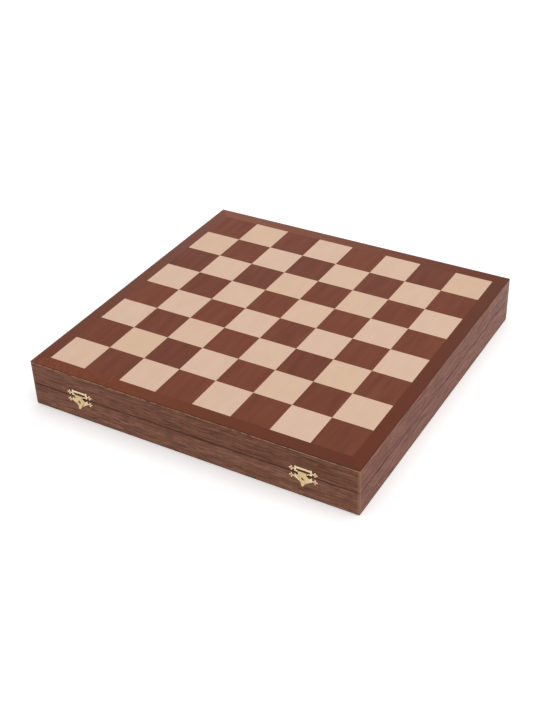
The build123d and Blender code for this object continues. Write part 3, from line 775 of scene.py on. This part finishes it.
def horse_head():
    """Rings of an oval carried along the spine, with the mane and the marks worked into them. The
    last rings close to a point by a quarter of an ellipse."""
    t = np.linspace(0, 1, 140)
    spine = smooth_path(SPINE, t)
    depth, width = (smooth_path(half, t)[:, None] for half in (HALF_DEPTH, HALF_WIDTH))
    tangent = np.gradient(spine, axis=0)
    tangent /= np.linalg.norm(tangent, axis=1, keepdims=True)
    forward = np.stack([tangent[:, 1], -tangent[:, 0]], -1)
    angle = turning(96)[None, :]
    t = t[:, None]
    off_back = np.abs(angle - np.pi)
    crest = np.exp(-((off_back / 0.42) ** 4)) * smoothstep((0.56 - t) / 0.05) * smoothstep(t / 0.1)
    locks = 2.0 + 0.5 * np.sin(t * 84 + 12 * off_back)
    swell = 1
    for place, reach, turned, turned_reach, amount in MARKS.values():
        swell = swell + amount * hill(t, place, reach) * hill(off_back, turned, turned_reach)
    swell = swell - 0.22 * hill(off_back, 2.1, 0.12) * smoothstep((t - 0.88) / 0.04)
    swell = swell * np.sqrt(np.clip(1 - (np.maximum(t - 0.93, 0) / 0.071) ** 2, 0, 1))
    out = np.cos(angle) * depth * swell - crest * locks
    side = np.sin(angle) * width * swell * (1 - 0.3 * crest)
    x = spine[:, :1] + forward[:, :1] * out
    z = spine[:, 1:] + forward[:, 1:] * out
    return round_body(np.stack([x, side, z], -1) * MM)


def ear(side):
    """A pointed cone 7.4 mm tall that swells above its root, hollowed in front."""
    rise = np.linspace(0, 1, 18)[:, None]
    angle = turning(24)[None, :]
    size = 2.6 * (1 - rise) ** 0.6 * (0.75 + 0.9 * rise) + 0.02
    from_front = np.minimum(angle, 2 * np.pi - angle)
    hollow = 1 - 0.5 * hill(from_front, 0, 0.5) * smoothstep(rise * 4)
    x = 1.6 + 0.8 * rise + size * np.cos(angle) * hollow
    y = side * (2.0 + 0.7 * rise) + size * np.sin(angle) * 0.75
    z = np.broadcast_to(42.0 + 7.4 * rise, x.shape)
    return round_body(np.stack([x, y, z], -1) * MM)


print("horse's head", len(horse_head()[0]), "vertices")

# %% [markdown]
# ## Boxwood, light and stained
#
# The light men are boxwood, a yellow wood so fine that its grain is barely there. The dark men are
# the same wood stained deep brown, and the stain sinks deeper into the soft lines. Both are waxed
# to a low shine.

# %% Make the boxwood finishes


def waxed_boxwood(name, pale, dark, roughness):
    """Turned boxwood with its grain along Y, in lines 1.2 mm apart, and each man a little
    different in tone."""
    material, tree, shader = finish_called(name)
    lines = streaks(tree, 1, 45, 1.2, 0.35, 0.72, 3)
    flecks = streaks(tree, 1, 4, 0.45, 0.55, 0.7)
    colour = laid_over(tree, linear(pale), dark, 0.3, square_number(tree, 2))
    colour = laid_over(tree, colour, dark, 0.45, lines)
    colour = laid_over(tree, colour, dark, 0.2, flecks)
    rough = add(tree, "MapRange", {0: lines, 3: roughness, 4: roughness + 0.1}).outputs[0]
    fill(tree, shader, {"Base Color": colour, "Roughness": rough, "Coat Weight": 0.25,
                        "Coat Roughness": 0.3})
    return material


BOXWOOD = {"white": waxed_boxwood("waxed boxwood", "#E3C08A", "#C0935A", 0.4),
           "black": waxed_boxwood("stained boxwood", "#402114", "#22100A", 0.36)}
print("2 boxwood finishes")

# %% [markdown]
# ## Lay the men in their trays
#
# Each man is made standing on the origin and then laid on its side in its own column of the board.
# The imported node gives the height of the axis, the foot's radius, the man's height and where its
# foot is. White's men point to the back and black's to the front.

# %% Lay the men down
COLUMNS = {"rook": (0, 7), "knight": (1, 6), "bishop": (2, 5), "queen": (3,), "king": (4,),
           "pawn": tuple(range(8))}
SLOTS = {"white": "boxwood", "black": "stained_boxwood"}
POINTS = {"white": 1, "black": -1}  # the way a man's head points along Y


def measured(colour, kind):
    """A kind of man as packed: its node, foot's radius, height, foot's place in Y and axis's
    height."""
    node = f"{colour}_{kind}s" if len(COLUMNS[kind]) > 1 else f"{colour}_{kind}"
    low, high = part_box(node)
    foot_y = low.y if POINTS[colour] == 1 else high.y
    return node, (high.z - low.z) / 2, high.y - low.y, foot_y, (high.z + low.z) / 2


def middle_of(column):
    """The middle of a column of squares in X."""
    return (column - 3.5) * SQUARE


def standing(kind, radius, height):
    """The parts of one standing man, as (vertices, faces) pairs, without its baize."""
    if kind == "knight":
        return [spun(KNIGHT_FOOT, radius, height), horse_head(), ear(1), ear(-1)]
    stations, shape, turns = TURNED[kind]
    parts = [spun(stations, radius, height, shape, turns)]
    return parts + [cross(height)] if kind == "king" else parts


def laid(part, x, foot_y, axis_z, towards):
    """A standing part turned onto its side: its height runs along Y, and towards is 1 or -1."""
    (across, up, along_y), faces = part[0].T, part[1]
    lying = np.stack([x + across, foot_y + towards * along_y, axis_z - towards * up], -1)
    return lying, faces


for colour, towards in POINTS.items():
    discs = []
    for kind, columns in COLUMNS.items():
        node, radius, height, foot_y, axis_z = measured(colour, kind)
        parts = []
        for column in columns:
            place = (middle_of(column), foot_y, axis_z, towards)
            parts += [laid(part, *place) for part in standing(kind, radius, height)]
            discs.append(laid(spun(DISC, radius, 1.02 * BAIZE, foot=0), *place))
        make_piece(f"turned_{node}", "base", SLOTS[colour], BOXWOOD[colour], parts, [node])
    make_piece(f"{colour}_baize_feet", "base", "felt", baize, discs)

# %% [markdown]
# ## The trays
#
# Each tray is a foam block with sixteen pockets, deep under a foot and shallower under a head.
# Seen from above it is a single surface, so it is worked out as a height for every point of a fine
# grid: the flat top, less the depth of whichever pocket lies there. A pocket's depth grows from
# its edge inwards over the width of its sloping wall, by a smooth S, which gives the soft rims
# that flock has. The grid's border then runs down to the bottom.

# %% Make the trays
GRID = 1.2 * MM  # the step of the grid
GAP = 0.5 * MM  # room at a man's foot and head, twice that at the sides
DRAFT = math.tan(math.radians(12))  # the slope of a pocket's wall
POCKET_CORNER = 2.0 * MM
ROLL = 1.2 * MM  # radius of the tray's own top edge
# Each man's pocket in mm: its length under the foot, then its depth under the head and its reach
# to the left and the right there.
POCKETS = {"king": (21.0, 8.6, 8.6, 8.6), "queen": (19.0, 8.2, 8.2, 8.2),
           "bishop": (16.0, 6.2, 6.2, 6.2), "knight": (11.0, 6.6, 10.6, 14.2),
           "rook": (13.0, 9.0, 9.0, 9.0), "pawn": (12.0, 6.8, 6.8, 6.8)}


def recess(x, y, spans, depth):
    """Depth of a drafted pocket between two (low, high) spans at its mouth: 0 outside, and full
    past its wall. It grows with the distance in from a rectangle with round corners."""
    offset = [np.abs(v - (low + high) / 2) - (high - low) / 2 + POCKET_CORNER
              for v, (low, high) in zip((x, y), spans)]
    outside = np.hypot(np.maximum(offset[0], 0), np.maximum(offset[1], 0))
    distance = outside + np.minimum(np.maximum(offset[0], offset[1]), 0) - POCKET_CORNER
    return depth * smoothstep(-distance / (depth * DRAFT))


def tray(colour, towards):
    """The height field over one half of the base, closed by its sides and bottom."""
    low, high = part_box(f"{colour}_tray")
    xs = np.linspace(low.x, high.x, round((high.x - low.x) / GRID) + 1)
    ys = np.linspace(low.y, high.y, round((high.y - low.y) / GRID) + 1)
    y, x = np.meshgrid(ys, xs, indexing="ij")
    depth = np.zeros_like(x)
    for kind, columns in COLUMNS.items():
        _, radius, height, foot_y, _ = measured(colour, kind)
        foot_length, *head = (size * MM for size in POCKETS[kind])
        for length, deep, left, right in ((foot_length, radius, radius, radius), (height, *head)):
            room = GAP + deep * DRAFT
            along_y = sorted((foot_y - towards * room, foot_y + towards * (length + room)))
            for column in columns:
                centre = middle_of(column)
                spans = ((centre - left - 2 * GAP, centre + right + 2 * GAP), along_y)
                depth = np.maximum(depth, recess(x, y, spans, deep))
    rim = np.minimum(np.minimum(x - low.x, high.x - x), np.minimum(y - low.y, high.y - y))
    edge = ROLL * (1 - np.sqrt(1 - (1 - np.clip(rim / ROLL, 0, 1)) ** 2))
    top = np.stack([x, y, high.z - depth - edge], -1).reshape(-1, 3)
    loop = edge_loop(*x.shape)
    skirt = top[loop] * (1, 1, 0) + (0, 0, low.z)
    below = len(top) + np.arange(len(loop))
    sides = np.stack([loop, below, np.roll(below, -1), np.roll(loop, -1)], -1)
    faces = grid_faces(*x.shape, False).tolist() + sides.tolist() + [below[::-1].tolist()]
    return np.vstack([top, skirt]), faces


for colour, towards in POINTS.items():
    piece = make_piece(f"flocked_{colour}_tray", "base", "flocked_foam", flock,
                       [tray(colour, towards)], [f"{colour}_tray"])

# %% [markdown]
# ## The pad in the lid
#
# A sheet of foam under baize is glued into the lid and keeps the men still. It is flat where it is
# glued and has rounded edges below. Its thickness falls to nothing at the walls by a high power of
# the distance from the middle, which gives a flat face with a soft edge, and shallow swells show
# where the foam takes up under the cloth.

# %% Make the lid's pad
PAD_STEPS = 161
SOFT_EDGE = 30  # the power by which the pad thins: the higher, the closer to the wall


def lid_pad():
    """A thin cushion: its lower face is a height field, and its upper face is flat against the
    lid's panel."""
    line = np.sin(np.linspace(-np.pi / 2, np.pi / 2, PAD_STEPS))
    v, u = np.meshgrid(line, line, indexing="ij")
    swell = 0.97 + 0.02 * np.sin(u * 9 + 1.0) * np.sin(v * 8 + 0.4)
    fall = np.sqrt(np.clip((1 - np.abs(u) ** SOFT_EDGE) * (1 - np.abs(v) ** SOFT_EDGE), 0, 1))
    face = np.stack([u * INNER, v * INNER, PAD_HIGH - (PAD_HIGH - PAD_LOW) * swell * fall], -1)
    faces = grid_faces(*u.shape, False)[:, ::-1].tolist() + [edge_loop(*u.shape).tolist()]
    return face.reshape(-1, 3), faces


pad = make_piece("baize_lid_pad", "lid", "felt", baize, [lid_pad()], ["lid_pad"])

# %% [markdown]
# ## The latches
#
# The latches are the case's ornament. Each is stamped from sheet: a slotted frame on the lid, a
# shield on the base, a fleur at each end of both, and a kite-shaped flap that hangs from a rod and
# closes over a nib. Stamped sheet has no sharp edges, and the light on its eased edges is what
# makes it glint, so no plate here is a cut-out with square ones. A plate is a ring of sections
# between its outline and its hole. Where there is no hole, the ring closes on a pinhole that a
# nail or the nib covers. Half an outline is written, as stations joined by arcs as for the men,
# and the other half is its mirror image. Latch sizes are in mm from the parting line, upwards and
# out.

# %% Trace the plates
LATCH_SHEET, FLAP_SHEET, EASED = 0.6, 0.7, 0.09  # thickness of both sheets, radius of their edges
NAIL_X, NAIL_Y = 11.5, 3.9
PINHOLE = 0.3
ROD_RADIUS, BARREL_RADIUS, BARREL_HALF, PLAY = 0.7, 1.35, 4.0, 0.06
ROD_Y = (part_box("latch_flap_left")[1].z - PARTING) / MM - BARREL_RADIUS
ROD_OUT = 1.45
FLAP_BACK = ROD_OUT - FLAP_SHEET / 2
HOLE_Y, HOLE_RADIUS = -3.5, 1.35
LIP_BEND, LIP_START = math.radians(35), -9.5
SHIELD = [(0, -1.8, 0), (8.6, -1.8, 0), (8.6, -5.2, 0.05), (1.6, -10.0, 0), (0, -10.0, 0)]
KITE = [(0, 1.2, 0), (3.95, 1.2, 0), (3.95, 0.5, 0), (6.8, -1.7, 0.06), (1.6, -9.6, 0),
        (1.45, -10.4, -0.2), (0, -11.8, 0)]
# The frame's right half, from its lower bar round to its point: outer x and y, inner x and y.
FRAME = np.array([(4.3, 1.5, 4.3, 3.0), (8.6, 1.5, 7.0, 3.0), (8.6, 7.0, 7.0, 4.9),
                  (7.9, 8.1, 7.0, 5.0), (7.1, 7.2, 6.9, 5.0)])
ROUNDINGS = 3  # how many times an outline's corners are averaged


def even(points, count, closed):
    """Points at even steps along a line through the given ones, with the corners rounded by
    averaging neighbours. Any columns after the first two, such as the opposite edge's points, are
    carried along."""
    line = np.vstack([points, points[:1]]) if closed else np.asarray(points, float)
    steps = np.linalg.norm(np.diff(line[:, :2], axis=0), axis=1)
    run = np.concatenate([[0], np.cumsum(steps)])
    step = np.linspace(0, run[-1], count, endpoint=not closed)
    spots = np.stack([np.interp(step, run, column) for column in line.T], -1)
    for _ in range(ROUNDINGS):
        near = (np.roll(spots, 1, axis=0) + 2 * spots + np.roll(spots, -1, axis=0)) / 4
        spots = near if closed else np.vstack([spots[:1], near[1:-1], spots[-1:]])
    return spots


def both_halves(stations, count=160):
    """A closed outline from its right half."""
    half = outline(stations)
    return even(np.vstack([half, (half * (-1, 1))[-2:0:-1]]), count, True)


print("shield", len(both_halves(SHIELD)), "points, kite", len(both_halves(KITE)), "points")

# %% Ease the edges of a plate


def directions(ways):
    """Arrows of length 1 along rows of (x, y)."""
    return ways / np.linalg.norm(ways, axis=1, keepdims=True)


def sections(outer, inner, thick, closed):
    """Sections across a sheet, one for each pair of points on its two edges. Each edge is eased by
    quarter circles. The outer ones are inset along the edge's own normal, so an oblique section
    doesn't widen them."""
    if closed:
        tangent = np.roll(outer, -1, axis=0) - np.roll(outer, 1, axis=0)
    else:
        tangent = np.gradient(outer, axis=0)
    normal = np.stack([-tangent[:, 1], tangent[:, 0]], -1)
    normal *= np.sign(np.sum(normal * (inner - outer)))
    quarter = np.linspace(0, np.pi / 2, 4)
    inset = EASED * np.concatenate([[1.8], 1 - np.sin(quarter)])
    rise = EASED * np.concatenate([[0], 1 - np.cos(quarter)])
    inset = np.concatenate([inset, inset[::-1]])[:, None]
    rise = np.concatenate([rise, thick - rise[::-1]])
    flat = np.concatenate([outer[:, None] + directions(normal)[:, None] * inset,
                           inner[:, None] + directions(outer - inner)[:, None] * inset], axis=1)
    height = np.concatenate([rise, rise[::-1]])[None, :, None]
    return np.concatenate([flat, np.broadcast_to(height, (*flat.shape[:2], 1))], -1)


def plate(outer, middle, hole, thick):
    """A ring of sections from an outline in to a round hole about the middle."""
    return ring_body(sections(outer, middle + hole * directions(outer - middle), thick, True))


shield_plate = plate(both_halves(SHIELD), np.array([0, HOLE_Y]), PINHOLE, LATCH_SHEET)
print("the shield's plate has", len(shield_plate[0]), "vertices")

# %% Make a fleur


def strip(along_x, along_y, half_width, thick, across):
    """A narrow strip along a line, widened both ways along one axis (0 or 1)."""
    line = np.stack(np.broadcast_arrays(along_x, along_y), -1)
    aside = half_width[:, None] * np.eye(2)[across]
    return round_body(sections(line + aside, line - aside, thick, False))


def fleur(x, y):
    """A four-lobed ornament with a small neck towards the plate. Its radius swells with a power of
    the cosine of twice the angle."""
    angle = turning(96)
    radius = 1.1 + 1.45 * np.abs(np.cos(2 * angle)) ** 1.7
    lobes = np.stack([x + radius * np.cos(angle), y + radius * np.sin(angle)], -1)
    run = x - math.copysign(1, x) * np.linspace(3.6, 0.8, 12)
    half_width = 0.65 + 0.25 * np.cos(np.linspace(0, 2 * np.pi, 12))
    return [plate(lobes, np.array([x, y]), PINHOLE, LATCH_SHEET),
            strip(run, y, half_width, LATCH_SHEET * 0.96, 1)]


def fleurs(side):
    """Both fleurs of the lid's plate (1) or the base's (-1)."""
    return fleur(NAIL_X, side * NAIL_Y) + fleur(-NAIL_X, side * NAIL_Y)


print("a pair of fleurs has", len(fleurs(1)), "parts")

# %% [markdown]
# ## The parts of a latch
#
# What is round on a latch is spun or carried along a line: the rod, the flap's barrel, the nib and
# the nails. The flap's tip is bent only once the flap is flat, as in the real press. Every point
# past the bend turns about it, so the sheet keeps its length and its thickness, which it would
# lose if the tip were only pulled outwards.

# %% Make the hasp and its rod
ROD_HALF, ROD_BEND = 5.1, 0.85  # half the rod's length, and how much of that bends back


def hasp():
    """The slotted frame with a point on each top corner, and the rod: a circle carried along a
    line whose ends bend back like a staple's."""
    edges = even(np.vstack([FRAME, (FRAME * (-1, 1, -1, 1))[::-1]]), 200, False)
    frame_part = round_body(sections(edges[:, :2], edges[:, 2:], LATCH_SHEET, False))
    x = np.linspace(-ROD_HALF, ROD_HALF, 81)
    bent = smoothstep((np.abs(x) - ROD_HALF + ROD_BEND) / ROD_BEND)
    out = ROD_OUT - (ROD_OUT - 0.1) * bent
    tangent = directions(np.gradient(np.stack([x, out], -1), axis=0))
    angle = turning(24)[None, :]
    away = ROD_RADIUS * np.cos(angle)
    rod = [x[:, None] - tangent[:, 1:] * away, ROD_Y + ROD_RADIUS * np.sin(angle),
           out[:, None] + tangent[:, :1] * away]
    rod_part = round_body(np.stack(np.broadcast_arrays(*rod), -1))
    return [frame_part] + fleurs(1) + [rod_part]


print("a hasp has", len(hasp()), "parts")

# %% Make the shield and its nib
HORN_X, HORN_LENGTH = 7.85, 1.6  # the points on the shield's upper corners
NIB = [(1.0, 0, 0), (0.95, 0.7, 0.1), (0.55, 1.0, 0), (0, 1.0, 0)]


def shield():
    """The catch plate with a point on each top corner, and its nib: a blunt peg."""
    nib = spun(NIB, 1.0, LATCH_SHEET + 0.38, turns=24, foot=0)
    nib[0][:, 1] += HOLE_Y
    parts = [shield_plate, nib]
    fall = np.linspace(0, HORN_LENGTH, 24)
    half_width = 0.2 + 0.5 * np.minimum(fall / 0.9, 1)
    for x in (-HORN_X, HORN_X):
        parts.append(strip(x, -0.95 - fall, half_width, LATCH_SHEET * 0.97, 0))
    return parts + fleurs(-1)


print("a shield has", len(shield()), "parts")

# %% Make the flap


def kite():
    """The flap: its barrel, a tube whose wall is a rounded square, its pierced sheet with the tip
    bent out, and the rim pressed up round its hole."""
    angle = turning(40)[:, None]
    corner = turning(24) + 0.1
    across, up = (np.sign(way) * np.abs(way) ** (1 / 3) for way in (np.cos(corner), np.sin(corner)))
    wall = (BARREL_RADIUS - ROD_RADIUS - PLAY) / 2
    radius = BARREL_RADIUS - wall + wall * up[None, :]
    barrel = [across[None, :] * BARREL_HALF, ROD_Y + radius * np.cos(angle),
              ROD_OUT + radius * np.sin(angle)]
    middle = np.array([0, HOLE_Y])
    points, faces = plate(both_halves(KITE), middle, HOLE_RADIUS, FLAP_SHEET)
    past = np.maximum(LIP_START - points[:, 1], 0)
    lift = points[:, 2] * smoothstep(past)
    points[:, 1] += past - past * math.cos(LIP_BEND) + lift * math.sin(LIP_BEND)
    points[:, 2] += FLAP_BACK + past * math.sin(LIP_BEND) - lift * (1 - math.cos(LIP_BEND))
    turn = turning(48)
    circle = middle + (HOLE_RADIUS + 0.5) * np.stack([np.cos(turn), np.sin(turn)], -1)
    rim, rim_faces = plate(circle, middle, HOLE_RADIUS - 0.02, FLAP_SHEET + 0.09)
    rim[:, 2] += FLAP_BACK + 0.05
    barrel_part = ring_body(np.stack(np.broadcast_arrays(*barrel), -1))
    return [barrel_part, (points, faces), (rim, rim_faces)]


print("a flap has", len(kite()), "parts")

# %% Make the nails
NAIL = [(0.1, 0, 0), (0.5, 0.15, 0), (0.5, 0.92, 0), (0.96, 0.925, 0.2), (0.93, 0.955, 0.06),
        (0.5, 0.992, 0.03), (0, 1.0, 0)]
NAIL_RADIUS, NAIL_HEAD, NAIL_LENGTH = 0.95, 0.45, 5.4


def nails(side):
    """The nails of the lid's plate (1) or the base's (-1): a domed head, a shank in the wood."""
    points, faces = spun(NAIL, NAIL_RADIUS, LATCH_SHEET + NAIL_HEAD, turns=24,
                         foot=LATCH_SHEET - NAIL_LENGTH)
    return [(points + (x, side * NAIL_Y, 0), faces) for x in (-NAIL_X, NAIL_X)]


print("a plate has", len(nails(1)), "nails")

# %% Nail the latches on


def nailed_on(parts, x):
    """Latch parts in mm, moved to their place on the front of the case."""
    return [(np.stack([x + points[:, 0] * MM, -HALF - points[:, 2] * MM,
                       PARTING + points[:, 1] * MM], -1), faces) for points, faces in parts]


hasp_nails, catch_nails = [], []
for hand in HANDS:
    low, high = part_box(f"hasp_plate_{hand}")
    x = (low.x + high.x) / 2
    for name, body, brass, parts, node in (
            ("stamped_hasp", "lid", plate_brass, hasp(), "hasp_plate"),
            ("stamped_shield", "base", plate_brass, shield(), "catch_plate"),
            ("stamped_kite", f"flap_{hand}", flap_brass, kite(), "latch_flap")):
        make_piece(f"{name}_{hand}", body, "brass", brass, nailed_on(parts, x), [f"{node}_{hand}"])
    hasp_nails += nailed_on(nails(1), x)
    catch_nails += nailed_on(nails(-1), x)
make_piece("domed_hasp_nails", "lid", "brass", shaded_nail_brass, hasp_nails, ["hasp_nails"])
make_piece("domed_catch_nails", "base", "brass", shaded_nail_brass, catch_nails, ["catch_nails"])

# %% [markdown]
# ## The hinge screws
#
# Each leaf is held by two countersunk screws with slotted heads, turned to whatever angle they
# ended at. The head's face is flush with the leaf, so all that can be seen is a ring and a slot.
# The slot is pressed into the turned head: every point of its face that lies within the slot's
# width goes down by its depth.

# %% Make the screws
SCREW_HEAD, SCREW_SPACING, SLOT_WIDTH, SLOT_DEPTH = 1.62, 18.0, 0.34, 0.35
FIRST_TURN, NEXT_TURN = 0.9, 2.3  # the angles at which the slots ended up, in radians
SCREW = [(0.15, 0, 0), (0.5, 0.25, 0), (0.5, 0.88, 0), (1.0, 0.995, 0), (0.97, 1.0, 0),
         (0.8, 1.0, 0), (0.6, 1.0, 0), (0.4, 1.0, 0), (0.2, 1.0, 0), (0, 1.0, 0)]


def slotted_screw(turn, length):
    """A countersunk screw that points down, with its face at z = 0 and its slot at an angle."""
    points, faces = spun(SCREW, SCREW_HEAD, length, turns=96, foot=0)
    aside = np.abs(points[:, 0] * math.sin(turn) - points[:, 1] * math.cos(turn))
    in_slot = (aside < SLOT_WIDTH / 2) & (points[:, 2] > 0.97 * length)
    points[:, 2] -= length + SLOT_DEPTH * in_slot
    return points, faces


for body, side in (("base", 1), ("lid", -1)):
    low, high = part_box(f"{body}_hinge_screws")
    face = high.z if side == 1 else low.z
    screws = []
    for hand in HANDS:
        leaf_low, leaf_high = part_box(f"{body}_hinge_leaf_{hand}")
        for way in (-1, 1):
            turn = FIRST_TURN + NEXT_TURN * len(screws)
            points, faces = slotted_screw(turn, (high.z - low.z) / MM)
            x = (leaf_low.x + leaf_high.x + way * SCREW_SPACING * MM) / 2
            place = (x, (low.y + high.y) / 2, face)
            screws.append((points * (MM, side * MM, side * MM) + place, faces))
    make_piece(f"slotted_{body}_screws", body, "brass", shaded_nail_brass, screws,
               [f"{body}_hinge_screws"])

# %% [markdown]
# ## Floor and light
#
# The photograph is a product shot: soft light from all sides on a white ground, and a little more
# from the right. A white world gives most of it. A large lamp overhead lights the board, a smaller
# one on the right models the walls, and the floor is white paper. The camera sees the world at
# exactly 1, which is white, and so does a ray that the brass or the lacquer mirrors.

# %% Set the floor and the lamps
ROOM_LIGHT = 0.6
PAPER = "#F4F4F4"
FLOOR_SIZE = 12.0
GLOW = {1: 0.4, 2: 3.0, 3: 0.3, 4: 0.46}  # two distances in m, and the floor's glow at them
LAMPS = {"overhead softbox": ((0.1, 0.2, 1.7), 1.6, 13.0),
         "right softbox": ((1.7, -0.1, 0.7), 1.0, 6.0)}  # place, size in m, power in W
WHITE = (1, 1, 1, 1)


def shows_background(tree):
    """1 for a ray that shows the background: the camera's own, or one off or through something
    shiny."""
    path = add(tree, "LightPath").outputs
    shiny = {0: path["Is Glossy Ray"], 1: path["Is Transmission Ray"]}
    any_ray = {0: path["Is Camera Ray"],
               1: add(tree, "Math", shiny, operation="MAXIMUM").outputs[0]}
    return add(tree, "Math", any_ray, operation="MAXIMUM").outputs[0]


def paper_floor():
    """White paper that keeps the object's shadow. A glow that lights nothing else brings it up to
    white, and grows with the distance from the object, where less of the lamps' light falls."""
    material, tree, shader = finish_called("white paper floor")
    place = add(tree, "TexCoord").outputs["Object"]
    away = add(tree, "VectorMath", {0: place}, operation="LENGTH").outputs["Value"]
    glow = add(tree, "MapRange", {0: away, **GLOW}).outputs[0]
    seen = {0: shows_background(tree), 1: glow}
    seen = add(tree, "Math", seen, operation="MULTIPLY").outputs[0]
    fill(tree, shader, {"Base Color": linear(PAPER), "Roughness": 0.9, "Specular IOR Level": 0.0,
                        "Emission Color": WHITE, "Emission Strength": seen})
    return material


corner = FLOOR_SIZE / 2
floor_mesh = bpy.data.meshes.new("floor")
floor_mesh.from_pydata([(-corner, -corner, 0), (corner, -corner, 0), (corner, corner, 0),
                        (-corner, corner, 0)], [], [(0, 1, 2, 3)])
floor_mesh.materials.append(paper_floor())
floor = bpy.data.objects.new("floor", floor_mesh)
floor.location.z = -0.2 * MM
scene.collection.objects.link(floor)

world = bpy.data.worlds.new("white room")
scene.world = world
world.use_nodes = True
sky = world.node_tree
strength = add(sky, "MapRange", {0: shows_background(sky), 3: ROOM_LIGHT, 4: 1.0}).outputs[0]
fill(sky, sky.nodes["Background"], {"Color": WHITE, "Strength": strength})

for name, (place, size, power) in LAMPS.items():
    lamp = bpy.data.lights.new(name, "AREA")
    lamp.size, lamp.energy = size, power
    softbox = bpy.data.objects.new(name, lamp)
    softbox.location = place
    towards = Vector((0, 0, TOP)) - Vector(place)
    softbox.rotation_euler = towards.to_track_quat("-Z", "Y").to_euler()
    scene.collection.objects.link(softbox)
scene.view_settings.view_transform = "Standard"
print("white room at", ROOM_LIGHT, "with", len(LAMPS), "lamps")
